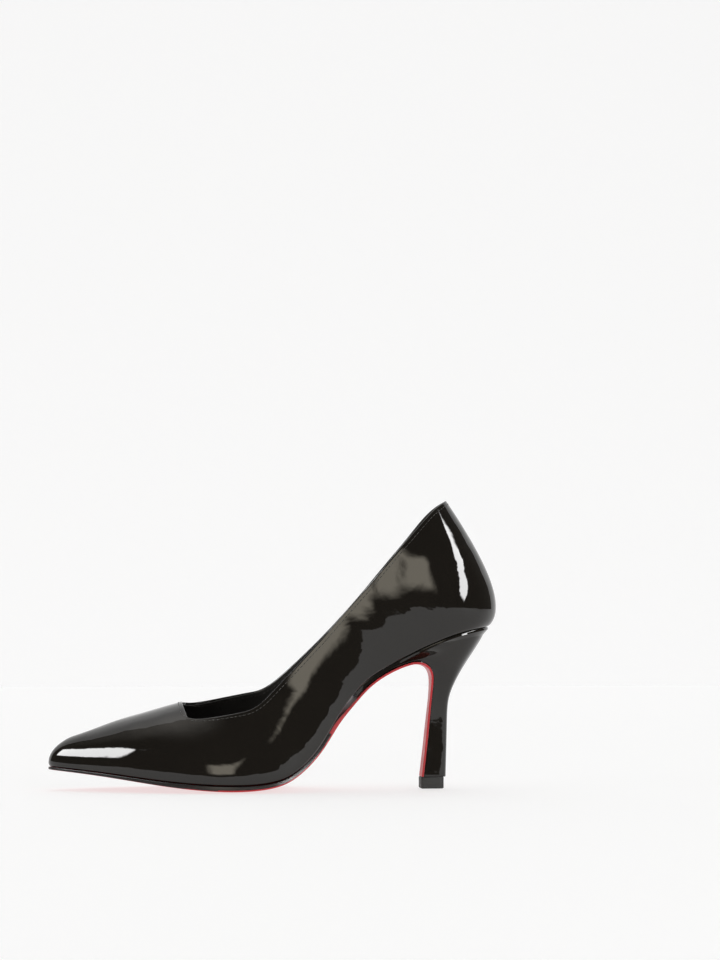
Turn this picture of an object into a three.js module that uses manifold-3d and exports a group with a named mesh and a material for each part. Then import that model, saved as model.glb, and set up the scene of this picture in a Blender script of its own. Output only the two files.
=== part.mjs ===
// High-heeled court shoe, left foot: pointed toe, low-cut topline, slim covered heel, leather outsole.
// Millimetres, +Z up, toe towards -X, outer side of the foot towards -Y, heel tip and tread on Z = 0.
import * as THREE from 'three';
import Module from 'manifold-3d';

const wasm = await Module();
wasm.setup();

// ---------------------------------------------------------------- driving dimensions
const GAP = 0.3; // air left between neighbouring pieces
const UPPER = 1.1; // patent leather with its backing
const LINING = 0.7; // lining leather
const PUFF = 0.8; // toe stiffener
const COUNTER = 1.2; // heel stiffener
const MARGIN = 9; // lasting margin of the upper, turned in under the insole
const MARGIN_HEEL = 6.5;
const LINING_MARGIN = 5;
const INSOLE = 1.8; // insole board
const SOCK = 0.9; // sock lining
const SHANK = 1.3; // steel shank thickness
const SHANK_WIDTH = 12;
const WALLS = 2 * GAP + UPPER + LINING; // insole edge to the outside of the upper
const INSOLE_LOW = UPPER + LINING + 2 * GAP;
const INSOLE_HIGH = INSOLE_LOW + INSOLE;
const PAD_LOW = INSOLE_HIGH + GAP;
const PAD = 2; // foam pad height at its middle
const PAD_EDGE = 0.6;
const SEAM = 0.3; // slit where the upper is joined down the back of the heel
const THROAT = 5.6; // station of the throat corners
const TIP_HEIGHT = 6.1; // heel tip
const COVER = 0.9; // heel covering leather, measured square to the heel's middle plane
const CORE_INSET = COVER + 0.35;
const WING_FRONT = 9.25; // station where the heel's front wing ends under the waist

// Stations run from the toe tip (0) round to the back of the heel (13), the same on both sides.
// Distance of each station from the back of the heel.
const F = [239, 236.4, 226.2, 208.8, 187.2, 163.6, 141.2, 120, 101, 82, 58, 33, 12.5, 4.5];
// Feather edge from the centre line, outer side and inner side.
const EDGE_OUT = [2, -4.6, -12, -21, -30.5, -37.8, -39.5, -36, -30, -24.5, -22.5, -24, -18.6, 0];
const EDGE_IN = [2, 8.2, 14.5, 22.5, 30.5, 36, 35.5, 29.5, 21.5, 16, 17.5, 22.5, 18.6, 0];
// Crest of the foot form over each station: distance from the heel, height, side position.
const CREST_F = [229, 227, 218, 203.2, 188.6, 176, 163.6, 147.5, 131, 112, 88, 60, 41, 36];
const CREST_Z = [27, 28, 31.1, 36.5, 40.8, 44.4, 48.4, 58, 73, 94, 122, 149, 162, 166];
const CREST_Y = [2, 2, 2, 2, 2.5, 3, 3.3, 3.8, 2.4, 1, 0, 0, 0, 0];
// Behind the throat the crest opens into two sides this far either way, so the heel cup is round.
const CREST_SPREAD = [0, 0, 0, 0, 0, 0, 2, 8, 14, 15.7, 16, 16.5, 11, 0];
// Height of the fullest part of the wall as a share of the wall, and its outward lean in degrees.
const RISE = [0.45, 0.45, 0.45, 0.42, 0.4, 0.38, 0.36, 0.34, 0.32, 0.3, 0.26, 0.21, 0.17, 0.155];
const LEAN_OUT = [12, 12, 12, 12, 12, 12, 12, 12, 12, 12, 16, 26, 42, 47];
const LEAN_IN = [12, 12, 12, 12, 10, 8, 10, 20, 28, 30, 24, 28, 42, 47];
// Shoulder of the wall below the crest: sideways reach and drop.
const REACH = [6, 7, 10, 15, 21, 25, 27, 24, 16, 11, 9, 9, 15, 22];
const DROP = [0, 0, 0, 0, 0, 0, -0.5, -1.5, -3, -5, -10, -18, -28, -31];

// Underside of the lasted upper along the shoe.
const FLOOR_F = [-10, 3, 20, 34.6, 48.4, 62, 72, 80.2, 88.4, 97, 105.4, 114, 124.3, 139, 157, 178, 199, 219.5,
  238, 248];
const FLOOR_Z = [91.5, 88, 84.2, 78.9, 72.6, 65.4, 58.4, 49.2, 37.1, 23.6, 14.4, 8.2, 4.9, 3.7, 4.2, 6.2, 9.1,
  11.7, 13.4, 14.1];
const CAMBER = 1.2; // sideways crown of the underside
const CAMBER_AT = 38;
const SKEW = 0.06; // the ball bends on a line further forward on the inner side
const SKEW_FROM = -24;

// Topline seen from the side.
const TOP_F = [-10, 10, 22, 28, 34, 43, 52, 62, 72, 84, 94, 104, 112, 120, 126, 132, 140, 150, 163, 169];
const TOP_OUT = [172, 162, 156, 152.8, 148.7, 139.5, 129.3, 117.7, 105.9, 92.4, 80.9,
  70.2, 61.7, 53.4, 47.3, 43.3, 41, 39.2, 37.8, 37.6];
const TOP_IN = [172, 162, 156, 152.4, 147.8, 137.4, 126.3, 114.3, 102.3, 88.8, 78.2,
  68.4, 61, 54.4, 51.2, 49.9, 48.5, 46.8, 45.2, 45.2];

// Underside of the outsole from the shank, over the arch and down the heel breast.
const ARCH_F = [81.9, 75.7, 69.1, 62.6, 56.1, 49, 43, 38.4, 36.2, 36, 36.4, 37.1, 38.1, 39.4, 41.1];
const ARCH_Z = [39.2, 46.8, 53.9, 59, 62.7, 65.6, 66.6, 64.6, 60.6, 55.6, 50, 43, 33.5, 21, 6.5];
const ARCH_HALF = [14.6, 14.3, 14.2, 14.4, 14.8, 15.2, 15.4, 14.2, 11, 8.2, 6.4, 5.1, 4.9, 5.1, 5.5];
// Outsole width through the waist, outer side and inner side.
const WAIST_F = [70, 80, 90, 100, 110, 120, 130];
const WAIST_OUT = [-16.8, -17.4, -19.4, -24.4, -31, -36, -38.4];
const WAIST_IN = [11.6, 11.6, 12.4, 15.8, 22.4, 28.6, 32.6];

// Heel sections from the tip up to the seat: back edge, half width, and share of the seat outline.
const HEEL_BACK_F = [27.7, 27.3, 27, 26.6, 25.4, 22.8, 18.7, 13.8, 9.8, 7.4];
const HEEL_BACK_Z = [6.4, 21, 33.5, 43, 49.8, 56.4, 64, 71.6, 77.8, 82];
const HEEL_HALF = [5.6, 5.2, 5, 5.2, 6.2, 8, 11.2, 15.4, 19.2, 21.6];
const HEEL_SEAT = [0, 0, 0, 0, 0.05, 0.15, 0.35, 0.6, 0.85, 1];
const HEEL_BOW = [0, 0, 0, 0, 0, 0, 0, 0.1, 1.3, 4]; // upward bow of each section between its edges
const HEEL_TURN = 0.05; // the shaft faces this far to the outer side of the line from toe to heel

// ---------------------------------------------------------------- curves
// Smooth curve through the values y at the places x.
function curve(x, y) {
  const n = x.length;
  const bend = new Array(n).fill(0);
  const c = new Array(n).fill(0);
  const d = new Array(n).fill(0);
  for (let i = 1; i < n - 1; i += 1) {
    const h0 = x[i] - x[i - 1];
    const h1 = x[i + 1] - x[i];
    const pull = 6 * ((y[i + 1] - y[i]) / h1 - (y[i] - y[i - 1]) / h0);
    const pivot = 2 * (h0 + h1) - h0 * c[i - 1];
    c[i] = h1 / pivot;
    d[i] = (pull - h0 * d[i - 1]) / pivot;
  }
  for (let i = n - 2; i > 0; i -= 1) {
    bend[i] = d[i] - c[i] * bend[i + 1];
  }
  return (q) => {
    let k = 0;
    while (k < n - 2 && q > x[k + 1]) k += 1;
    const h = x[k + 1] - x[k];
    const a = (x[k + 1] - q) / h;
    const b = (q - x[k]) / h;
    return a * y[k] + b * y[k + 1] + ((a ** 3 - a) * bend[k] + (b ** 3 - b) * bend[k + 1]) * (h * h / 6);
  };
}

const LAST = F.length - 1;
const ROUND = 2 * LAST;

// Closed curve round the shoe: outer side from toe to heel, then back along the inner side.
function loop(outer, inner = outer) {
  const at = (k) => {
    const m = ((k % ROUND) + ROUND) % ROUND;
    return m <= LAST ? outer[m] : inner[ROUND - m];
  };
  const places = [];
  for (let k = -4; k <= ROUND + 4; k += 1) {
    places.push(k);
  }
  const through = curve(places, places.map(at));
  return (t) => through(((t % ROUND) + ROUND) % ROUND);
}

const stationF = loop(F);
const edgeY = loop(EDGE_OUT, EDGE_IN);
const crestF = loop(CREST_F);
const crestMiddle = loop(CREST_Y);
const crestSpread = loop(CREST_SPREAD.map((half) => -half), CREST_SPREAD);
const crestZ = loop(CREST_Z);
const rise = loop(RISE);
const lean = loop(LEAN_OUT, LEAN_IN);
const reach = loop(REACH);
const drop = loop(DROP);
const crestLine = curve([...CREST_F].reverse(), [...CREST_Z].reverse());
const floorZ = curve(FLOOR_F, FLOOR_Z);
const topOut = curve(TOP_F, TOP_OUT);
const topIn = curve(TOP_F, TOP_IN);
const clamp = THREE.MathUtils.clamp;
const lerp = THREE.MathUtils.lerp;
const ease = THREE.MathUtils.smoothstep;

// Station counted from the toe whichever side it is on.
function fromToe(t) {
  const m = ((t % ROUND) + ROUND) % ROUND;
  return Math.min(m, ROUND - m);
}

const crestY = (t) => crestMiddle(t) + crestSpread(t) * ease(fromToe(t), THROAT, 7);

// Point from distance to the heel back, side position and height.
const point = (f, y, z) => new THREE.Vector3(-f, y, z);

// Outward direction of the feather edge seen from above.
function outward(t) {
  const e = 0.001;
  const df = stationF(t + e) - stationF(t - e);
  const dy = edgeY(t + e) - edgeY(t - e);
  return new THREE.Vector2(-dy, df).normalize();
}

// ---------------------------------------------------------------- underside of the upper
// Forward shift of the bend at side position y.
const skew = (f, y) => SKEW * (y - SKEW_FROM) * ease(f, 56, 82) * (1 - ease(f, 118, 142));
const under = (f, y) => floorZ(f - skew(f, y)) - CAMBER * (1 - (y / CAMBER_AT) ** 2);

// Point at height h above the underside, measured square to it.
function floorAt(f, y, h) {
  const e = 0.01;
  const slopeF = (under(f + e, y) - under(f - e, y)) / (2 * e);
  const slopeY = (under(f, y + e) - under(f, y - e)) / (2 * e);
  const up = new THREE.Vector3(-slopeF, -slopeY, 1).normalize();
  return point(f + up.x * h, y + up.y * h, under(f, y) + up.z * h);
}

// Middle line of the underside that the edge is turned in towards.
function spine(t) {
  const s = clamp(fromToe(t), 2.6, 11.4);
  return new THREE.Vector2(clamp(stationF(t), 24, 216), (edgeY(s) + edgeY(-s)) / 2);
}

// Plan position a distance d inside the feather edge.
function insetPlan(t, d) {
  const edge = new THREE.Vector2(stationF(t), edgeY(t));
  const inwards = spine(t).sub(edge);
  const whole = inwards.length();
  inwards.normalize();
  const square = Math.max(0.5, -inwards.dot(outward(t)));
  return edge.addScaledVector(inwards, Math.min(d / square, 0.9 * whole));
}

function turnedIn(t, d, h) {
  const p = insetPlan(t, d);
  return floorAt(p.x, p.y, h);
}

// ---------------------------------------------------------------- walls of the upper
// Outer surface at station t, v from the feather edge (0) to the crest (1).
function skin(t, v) {
  const foot = new THREE.Vector3(stationF(t), edgeY(t), under(stationF(t), edgeY(t)));
  const crest = new THREE.Vector3(crestF(t), crestY(t), crestZ(t));
  const out2 = outward(t);
  const out = new THREE.Vector3(out2.x, out2.y, 0);
  const up = crest.clone().sub(foot);
  up.addScaledVector(out, -up.dot(out));
  const wall = up.length();
  up.normalize();
  const low = foot.clone().addScaledVector(up, rise(t) * wall);
  low.addScaledVector(out, rise(t) * wall * Math.tan(THREE.MathUtils.degToRad(lean(t))));
  const slope = (crestLine(crest.x + 0.1) - crestLine(crest.x - 0.1)) / 0.2;
  const domed = slope * out.x * reach(t);
  const open = ease(fromToe(t), 5.5, 7.5);
  const high = crest.clone().addScaledVector(out, reach(t));
  high.z += lerp(domed, drop(t), open);
  const u = 1 - v;
  const p = foot.multiplyScalar(u ** 3);
  p.addScaledVector(low, 3 * u * u * v);
  p.addScaledVector(high, 3 * u * v * v);
  p.addScaledVector(crest, v ** 3);
  return point(p.x, p.y, p.z);
}

function wallNormal(t, v) {
  const e = 0.004;
  const w = clamp(v, 0.02, 0.97);
  const along = skin(t + e, w).sub(skin(t - e, w));
  const upwards = skin(t, w + e).sub(skin(t, w - e));
  return along.cross(upwards).normalize();
}

// Wall point a depth d inside the outer surface.
const wallAt = (t, v, d) => skin(t, v).addScaledVector(wallNormal(t, v), -d);

// Share of the wall where it meets the topline.
function topCut(t) {
  const m = ((t % ROUND) + ROUND) % ROUND;
  const line = m <= LAST ? topOut : topIn;
  let low = 0.25;
  let high = 1;
  for (let i = 0; i < 40; i += 1) {
    const mid = (low + high) / 2;
    const p = skin(t, mid);
    if (p.z < line(-p.x)) low = mid;
    else high = mid;
  }
  return (low + high) / 2;
}
const throatOut = topCut(THROAT);
const throatIn = topCut(-THROAT);

// Top row of the side panels: the topline, or a line across the vamp that carries it on.
function panelTop(t) {
  if (fromToe(t) >= THROAT - 1e-6) return topCut(t);
  const m = ((t % ROUND) + ROUND) % ROUND;
  return m <= LAST ? lerp(0.55, throatOut, m / THROAT) : lerp(0.55, throatIn, (ROUND - m) / THROAT);
}

// Extra room the lining leaves for the stiffeners behind it.
function bulge(t, share) {
  const s = fromToe(t);
  const toe = (PUFF + GAP) * (1 - ease(s, 3.7, 4.6));
  const heel = (COUNTER + GAP) * ease(s, 9.4, 10.3) * (1 - ease(share, 0.8, 0.93));
  return toe + heel;
}

// ---------------------------------------------------------------- building closed bodies
// Columns shared by every layer, so that neighbouring layers have matching facets.
const COLUMNS = [0, 0.35, 0.7, 1.05, 1.4, 1.8, 2.2, 2.6, 3, 3.5, 4, 4.5, 5, THROAT, 6, 6.4, 6.8, 7.2,
  7.7, 8.2, 8.7, 9, 9.25, 9.5, 9.8, 10.2, 10.7, 11.15, 11.55, 11.9, 12.2, 12.45, 12.72, 13];
const AROUND = [...COLUMNS];
for (let k = COLUMNS.length - 2; k > 0; k -= 1) {
  AROUND.push(ROUND - COLUMNS[k]);
}

// Columns from station a to station b, counted on round the shoe.
function columns(a, b) {
  const inside = [];
  for (let turn = -1; turn <= 1; turn += 1) {
    for (const t of AROUND) {
      const s = t + turn * ROUND;
      if (s > a + 0.06 && s < b - 0.06) inside.push(s);
    }
  }
  return [a, ...inside, b];
}

const steps = (n) => Array.from({ length: n + 1 }, (_, i) => i / n);

// Surface patches joined into one closed body. Each point is a position, or a pair of positions on the
// two faces of a sheet.
class Body {
  constructor() {
    this.front = [];
    this.back = [];
    this.faces = [];
    this.seen = new Map();
  }

  vertex(spot) {
    const [p, q] = Array.isArray(spot) ? spot : [spot, spot];
    const key = [p.x, p.y, p.z].map((value) => Math.round(value * 500)).join();
    if (!this.seen.has(key)) {
      this.seen.set(key, this.front.length);
      this.front.push(p);
      this.back.push(q);
    }
    return this.seen.get(key);
  }

  face(a, b, c) {
    if (a !== b && b !== c && c !== a) this.faces.push([a, b, c]);
  }

  patch(cols, rows, at) {
    const grid = cols.map((c) => rows.map((r) => this.vertex(at(c, r))));
    for (let i = 0; i + 1 < cols.length; i += 1) {
      for (let j = 0; j + 1 < rows.length; j += 1) {
        this.face(grid[i][j], grid[i + 1][j], grid[i + 1][j + 1]);
        this.face(grid[i][j], grid[i + 1][j + 1], grid[i][j + 1]);
      }
    }
    return this;
  }

  // Turns faces so that neighbours agree on which side is out.
  orient() {
    const sides = new Map();
    this.faces.forEach((face, index) => {
      for (let k = 0; k < 3; k += 1) {
        const key = [face[k], face[(k + 1) % 3]].sort((a, b) => a - b).join();
        if (!sides.has(key)) sides.set(key, []);
        sides.get(key).push(index);
      }
    });
    const has = (face, a, b) => face.some((value, k) => value === a && face[(k + 1) % 3] === b);
    const done = new Set([0]);
    const queue = [0];
    while (queue.length) {
      const face = this.faces[queue.pop()];
      for (let k = 0; k < 3; k += 1) {
        const a = face[k];
        const b = face[(k + 1) % 3];
        for (const other of sides.get([a, b].sort((p, q) => p - q).join())) {
          if (done.has(other)) continue;
          if (has(this.faces[other], a, b)) this.faces[other].reverse();
          done.add(other);
          queue.push(other);
        }
      }
    }
  }

  geometry() {
    this.orient();
    const corners = this.faces.map((face) => face.map((k) => this.front[k]));
    if (this.back.some((q, k) => q !== this.front[k])) {
      const open = new Set(this.faces.flatMap(([a, b, c]) => [`${a},${b}`, `${b},${c}`, `${c},${a}`]));
      for (const [a, b, c] of this.faces) {
        corners.push([this.back[c], this.back[b], this.back[a]]);
      }
      for (const edge of open) {
        const [a, b] = edge.split(',').map(Number);
        if (open.has(`${b},${a}`)) continue;
        corners.push([this.front[b], this.front[a], this.back[a]]);
        corners.push([this.front[b], this.back[a], this.back[b]]);
      }
    }
    let volume = 0;
    for (const [a, b, c] of corners) {
      volume += a.dot(b.clone().cross(c));
    }
    const made = new THREE.BufferGeometry();
    const list = corners.flatMap((tri) => (volume < 0 ? [...tri].reverse() : tri));
    made.setAttribute('position', new THREE.Float32BufferAttribute(list.flatMap((p) => p.toArray()), 3));
    return made;
  }
}

// ---------------------------------------------------------------- materials
const paint = (colour, roughness, metalness = 0) => new THREE.MeshStandardMaterial({
  color: colour,
  roughness,
  metalness,
});
const patent = () => paint(0x0b0b0b, 0.08);
const liningBlack = () => paint(0x17150f, 0.7);
const board = () => paint(0x8a6f4c, 0.9);
const foam = () => paint(0xd8cfb8, 0.95);
const steel = () => paint(0xa8abad, 0.35, 1);

const shoe = new THREE.Group();
shoe.name = 'court_shoe';

function add(name, geometry, material) {
  const mesh = new THREE.Mesh(geometry, material);
  mesh.name = name;
  mesh.material.name = name;
  shoe.add(mesh);
  return mesh;
}

// ---------------------------------------------------------------- fasteners and the holes for them
// Turned part standing on the insole at (f, y): profile rows are [radius, height above the underside].
function turned(f, y, rows, grow = 0) {
  const low = floorAt(f, y, 0);
  const axis = floorAt(f, y, 1).sub(low);
  const outline = rows.map(([r, h]) => new THREE.Vector2(r === 0 ? 0 : r + grow, h));
  outline[0].y -= grow;
  outline[outline.length - 1].y += grow;
  const made = new THREE.LatheGeometry(outline, 12);
  made.rotateX(Math.PI / 2);
  made.applyQuaternion(new THREE.Quaternion().setFromUnitVectors(new THREE.Vector3(0, 0, 1), axis));
  made.translate(low.x, low.y, low.z);
  return made;
}

function solid(geometry) {
  const bare = new THREE.BufferGeometry();
  const source = geometry.index ? geometry.toNonIndexed() : geometry;
  const spots = source.getAttribute('position');
  const seen = new Map();
  const points = [];
  const tris = [];
  for (let i = 0; i < spots.count; i += 3) {
    const face = [0, 1, 2].map((k) => {
      const p = [spots.getX(i + k), spots.getY(i + k), spots.getZ(i + k)];
      const key = p.map((value) => Math.round(value * 2000)).join();
      if (!seen.has(key)) {
        seen.set(key, points.length / 3);
        points.push(...p);
      }
      return seen.get(key);
    });
    if (face[0] !== face[1] && face[1] !== face[2] && face[2] !== face[0]) tris.push(...face);
  }
  bare.dispose();
  return new wasm.Manifold(new wasm.Mesh({
    numProp: 3,
    vertProperties: new Float32Array(points),
    triVerts: new Uint32Array(tris),
  }));
}

// Geometry with each of the tools cut away.
function cut(geometry, tools) {
  let body = solid(geometry);
  for (const tool of tools) {
    body = body.subtract(solid(tool));
  }
  const mesh = body.getMesh();
  const made = new THREE.BufferGeometry();
  const flat = [];
  for (const k of mesh.triVerts) {
    flat.push(...mesh.vertProperties.slice(k * mesh.numProp, k * mesh.numProp + 3));
  }
  made.setAttribute('position', new THREE.Float32BufferAttribute(flat, 3));
  return made;
}

const HOLE = 0.2; // clearance round a fastener
const SCREW = [[0, -15], [1.7, -13], [1.9, 2.2], [3.4, INSOLE_HIGH], [0, INSOLE_HIGH]];
const NAIL = [[0, -7.2], [0.8, -6.2], [0.8, INSOLE_HIGH - 0.8], [1.9, INSOLE_HIGH], [0, INSOLE_HIGH]];
const RIVET = [[0, 0.42], [2.7, 0.42], [2.7, 0.82], [1.5, 0.82], [1.5, 3.4], [2.4, INSOLE_HIGH], [0, INSOLE_HIGH]];
const screwSpot = [30, 0];
const nailSpots = [[15, -8], [15, 8], [29, -11], [29, 11]];
const rivetSpots = [[66, -3], [112, -3.5]];

// ---------------------------------------------------------------- upper, stiffeners and linings
const ROWS = [0, 0.2, 0.34, 0.48, 0.62, 0.76, 0.88, 1];
const slit = SEAM / 2 / (edgeY(LAST + 0.5) - edgeY(LAST - 0.5));
const UPPER_IN = UPPER + GAP;

// Two faces of a wall layer at station t and share of the wall: depth is its outer face, height its foot.
function layer(t, share, depth, thick, height, turn = thick) {
  if (share === 0) return [turnedIn(t, depth, height), turnedIn(t, depth + thick, height + turn)];
  const v = share * panelTop(t);
  return [wallAt(t, v, depth), wallAt(t, v, depth + thick)];
}

// Layer carried on over the vamp to the crest.
function dome(t, share, depth, thick) {
  const v = lerp(panelTop(t), 1, share);
  return [wallAt(t, v, depth), wallAt(t, v, depth + thick)];
}

const marginOf = (t) => lerp(MARGIN, MARGIN_HEEL, ease(fromToe(t), 9.6, 10.8));

function makeUpper() {
  const around = columns(-LAST + slit, LAST - slit);
  const vamp = columns(-THROAT, THROAT);
  const body = new Body();
  body.patch(around, ROWS, (t, s) => layer(t, s, 0, UPPER, 0));
  body.patch(vamp, steps(3), (t, s) => dome(t, s, 0, UPPER));
  body.patch(around, steps(1), (t, s) => {
    if (s === 0) return layer(t, 0, 0, UPPER, 0);
    return [turnedIn(t, marginOf(t), 0), turnedIn(t, marginOf(t), UPPER)];
  });
  return body.geometry();
}

// Piece of lining between two stations, with the vamp covered where it reaches the throat.
function makeLining(t0, t1, covered) {
  const depth = (t, s) => UPPER_IN + bulge(t, s);
  const body = new Body();
  body.patch(columns(t0, t1), ROWS, (t, s) => layer(t, s, depth(t, s), LINING, UPPER_IN));
  if (covered) {
    const vamp = columns(-THROAT, THROAT);
    body.patch(vamp, steps(3), (t, s) => dome(t, s, depth(t, 0), LINING));
  }
  body.patch(columns(t0, t1), steps(1), (t, s) => {
    if (s === 0) return layer(t, 0, depth(t, 0), LINING, UPPER_IN);
    const inner = depth(t, 0) + LINING + LINING_MARGIN * 0.7;
    return [turnedIn(t, inner, UPPER_IN), turnedIn(t, inner, UPPER_IN + LINING)];
  });
  return body.geometry();
}

function makePuff() {
  const reachBack = columns(-3.5, 3.5);
  const body = new Body();
  body.patch(reachBack, ROWS, (t, s) => layer(t, s, UPPER_IN, PUFF, UPPER_IN, 0));
  body.patch(reachBack, steps(3), (t, s) => dome(t, s, UPPER_IN, PUFF));
  return body.geometry();
}

function makeCounter() {
  const body = new Body();
  const rows = ROWS.filter((s) => s < 0.8);
  body.patch(columns(10.35, ROUND - 10.35), rows, (t, s) => layer(t, s, UPPER_IN, COUNTER, UPPER_IN, 0));
  return body.geometry();
}

const FRONT_LINING = 6.4;
const GRIP = 11.15;
const SPLIT = 0.008; // half the opening between lining pieces, in stations
add('upper', makeUpper(), patent());
add('toe_puff', makePuff(), paint(0xc9c2ae, 0.8));
add('heel_counter', makeCounter(), paint(0x9a8358, 0.85));
add('vamp_lining', makeLining(-FRONT_LINING, FRONT_LINING, true), liningBlack());
const behind = FRONT_LINING + 2 * SPLIT;
const before = GRIP - 2 * SPLIT;
add('quarter_lining_outer', makeLining(behind, before, false), liningBlack());
add('quarter_lining_inner', makeLining(ROUND - before, ROUND - behind, false), liningBlack());
add('heel_grip_lining', makeLining(GRIP, ROUND - GRIP, false), paint(0x1d1a15, 0.95));

// ---------------------------------------------------------------- insole, socks and pads
// Sheet over the underside between two heights, its edge a distance in from the feather edge.
function makeFloor(t0, t1, edge, low, high) {
  const body = new Body();
  body.patch(columns(t0, t1), steps(2), (t, q) => {
    const p = insetPlan(t, edge(t)).lerp(spine(t), q);
    return [floorAt(p.x, p.y, high(p.x, p.y)), floorAt(p.x, p.y, low(p.x, p.y))];
  });
  return body.geometry();
}

const PADS = [
  { name: 'heel_pad', f: 36, y: -0.5, long: 24, half: 13 },
  { name: 'forefoot_pad', f: 150, y: -1, long: 25, half: 19 },
];

const padReach = (pad, f, y) => Math.hypot((f - pad.f) / pad.long, (y - pad.y) / pad.half);

// Extra height of the sock lining where it lies over the pads.
function lift(f, y) {
  return PADS.reduce((most, pad) => Math.max(most, PAD * (1 - ease(padReach(pad, f, y), 1.05, 1.5))), 0);
}

function makePad(pad) {
  const body = new Body();
  body.patch(steps(20), [0, 0.55, 1], (turn, r) => {
    const angle = (turn === 1 ? 0 : turn) * 2 * Math.PI;
    const f = pad.f + pad.long * r * Math.cos(angle);
    const y = pad.y + pad.half * r * Math.sin(angle);
    const high = lerp(PAD, PAD_EDGE, r * r);
    return [floorAt(f, y, PAD_LOW + high), floorAt(f, y, PAD_LOW)];
  });
  return body.geometry();
}

const insoleEdge = (t) => WALLS + bulge(t, 0) + 0.1;
const screwTool = turned(...screwSpot, SCREW, HOLE);
const nailTools = nailSpots.map(([f, y]) => turned(f, y, NAIL, HOLE));
const rivetTools = rivetSpots.map(([f, y]) => turned(f, y, RIVET, HOLE));
const insole = makeFloor(0, ROUND, insoleEdge, () => INSOLE_LOW, () => INSOLE_HIGH);
add('insole_board', cut(insole, [screwTool, ...nailTools, ...rivetTools]), board());
const sockLow = (f, y) => PAD_LOW + 0.3 + lift(f, y);
const sock = makeFloor(0, ROUND, (t) => insoleEdge(t) + 0.5, sockLow, (f, y) => sockLow(f, y) + SOCK);
add('sock_lining', sock, liningBlack());
for (const pad of PADS) {
  add(pad.name, makePad(pad), foam());
}
const filler = makeFloor(-6.3, 6.3, () => MARGIN + 0.8, () => 0.05, () => INSOLE_LOW - GAP);
add('bottom_filler', filler, paint(0xb48a5a, 0.95));

function makeShank() {
  const low = INSOLE_LOW - GAP - SHANK;
  const body = new Body();
  body.patch(columns(6.75, 11.4), steps(2), (t, q) => {
    const f = stationF(t);
    const ends = 1 - ease(Math.abs(f - 71), 44, 50) * 0.35;
    const y = spine(t).y * 0.75 + (q - 0.5) * SHANK_WIDTH * ends;
    return [floorAt(f, y, low + SHANK), floorAt(f, y, low)];
  });
  return body.geometry();
}
add('steel_shank', cut(makeShank(), [screwTool, ...rivetTools]), steel());
rivetSpots.forEach(([f, y], k) => add(['shank_rivet_rear', 'shank_rivet_front'][k], turned(f, y, RIVET), steel()));
add('heel_screw', turned(...screwSpot, SCREW), steel());
nailSpots.forEach(([f, y], k) => add(`heel_nail_${k + 1}`, turned(f, y, NAIL), steel()));

// ---------------------------------------------------------------- outsole
const SOLE_F = [60, 84, 100, 118, 140, 165, 190, 215, 240];
const SOLE_THICK = [1.6, 3, 2.5, 2.5, 2.9, 2.6, 2, 1.5, 1.2];
const soleThick = curve(SOLE_F, SOLE_THICK);
const waistOut = curve(WAIST_F, WAIST_OUT);
const waistIn = curve(WAIST_F, WAIST_IN);
const archIndex = ARCH_F.map((_, k) => k);
const archF = curve(archIndex, ARCH_F);
const archZ = curve(archIndex, ARCH_Z);
const archHalf = curve(archIndex, ARCH_HALF);
const FLAP = 1.1; // sole leather over the arch and down the breast

// Point on the arch curve, a distance out from the underside of the sole towards the heel.
function archAt(w, out) {
  const e = 0.01;
  const df = archF(w + e) - archF(w - e);
  const dz = archZ(w + e) - archZ(w - e);
  const size = Math.hypot(df, dz);
  return new THREE.Vector2(archF(w) + (dz / size) * out, archZ(w) - (df / size) * out);
}
// Forward shift at height z and side position y where the shaft is turned.
const turnedBy = (z, y) => HEEL_TURN * y * (1 - ease(z, 30, 52));
// Front of the heel block, clear of the sole leather.
const breastAt = (w) => archAt(w, FLAP + 1.2 * GAP + 0.6 * (1 - ease(w, 2, 5)));
const archMiddle = (w) => -2.8 * (1 - ease(w, 0, 6));

// Heel rows are counted from the tip (0) to the seat (11); each starts at this place on the arch.
const HEEL_ROWS = [0, 1, 2, 3, 4, 5, 5.5, 6, 6.5, 7, 7.5, 8, 8.5, 9, 9.5, 10, 11];
const rowArch = curve([0, 1, 2, 3, 4, 5, 6, 7, 8, 9, 10], [14, 13, 12, 11, 10, 9, 8, 7, 5.6, 3.4, 1.15]);

function makeOutsole() {
  const body = new Body();
  const across = steps(6);
  const fore = columns(0, 8.95).filter((t) => t < 8.9);
  const arch = HEEL_ROWS.filter((j) => j <= 10).map((j) => rowArch(j)).reverse();
  const rows = [...fore.map((t) => ({ t })), { w: 0.1 }, ...arch.map((w) => ({ w }))];
  body.patch(rows, across, (row, k) => {
    const r = 2 * k - 1;
    if (row.t === undefined) {
      const y = archMiddle(row.w) + r * archHalf(row.w);
      const crown = 0.6 * (1 - r * r) * (1 - ease(row.w, 6, 9));
      const high = archAt(row.w, FLAP);
      const low = archAt(row.w, -crown);
      const shift = skew(high.x, y) + turnedBy(high.y, y);
      const ceiling = under(high.x + shift, y) - 1.6 * GAP;
      return [point(high.x + shift, y, Math.min(high.y, ceiling)), point(low.x + shift, y, low.y)];
    }
    const f = stationF(row.t);
    const full = 1 - ease(f, 112, 132);
    const out = lerp(edgeY(row.t) + 0.4, waistOut(f), full);
    const inner = lerp(edgeY(-row.t) - 0.4, waistIn(f), full);
    const y = row.t === 0 ? 2 : lerp(out, inner, k);
    const front = row.t === 0 ? f - 0.3 : f;
    const crown = 0.6 * (1 - r * r) * (1 - ease(f, 95, 120));
    const low = floorAt(front, y, -GAP - soleThick(f) - crown);
    low.z = Math.max(low.z, 0);
    return [floorAt(front, y, -GAP), low];
  });
  return body.geometry();
}
add('outsole', makeOutsole(), paint(0xa31621, 0.35));

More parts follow.
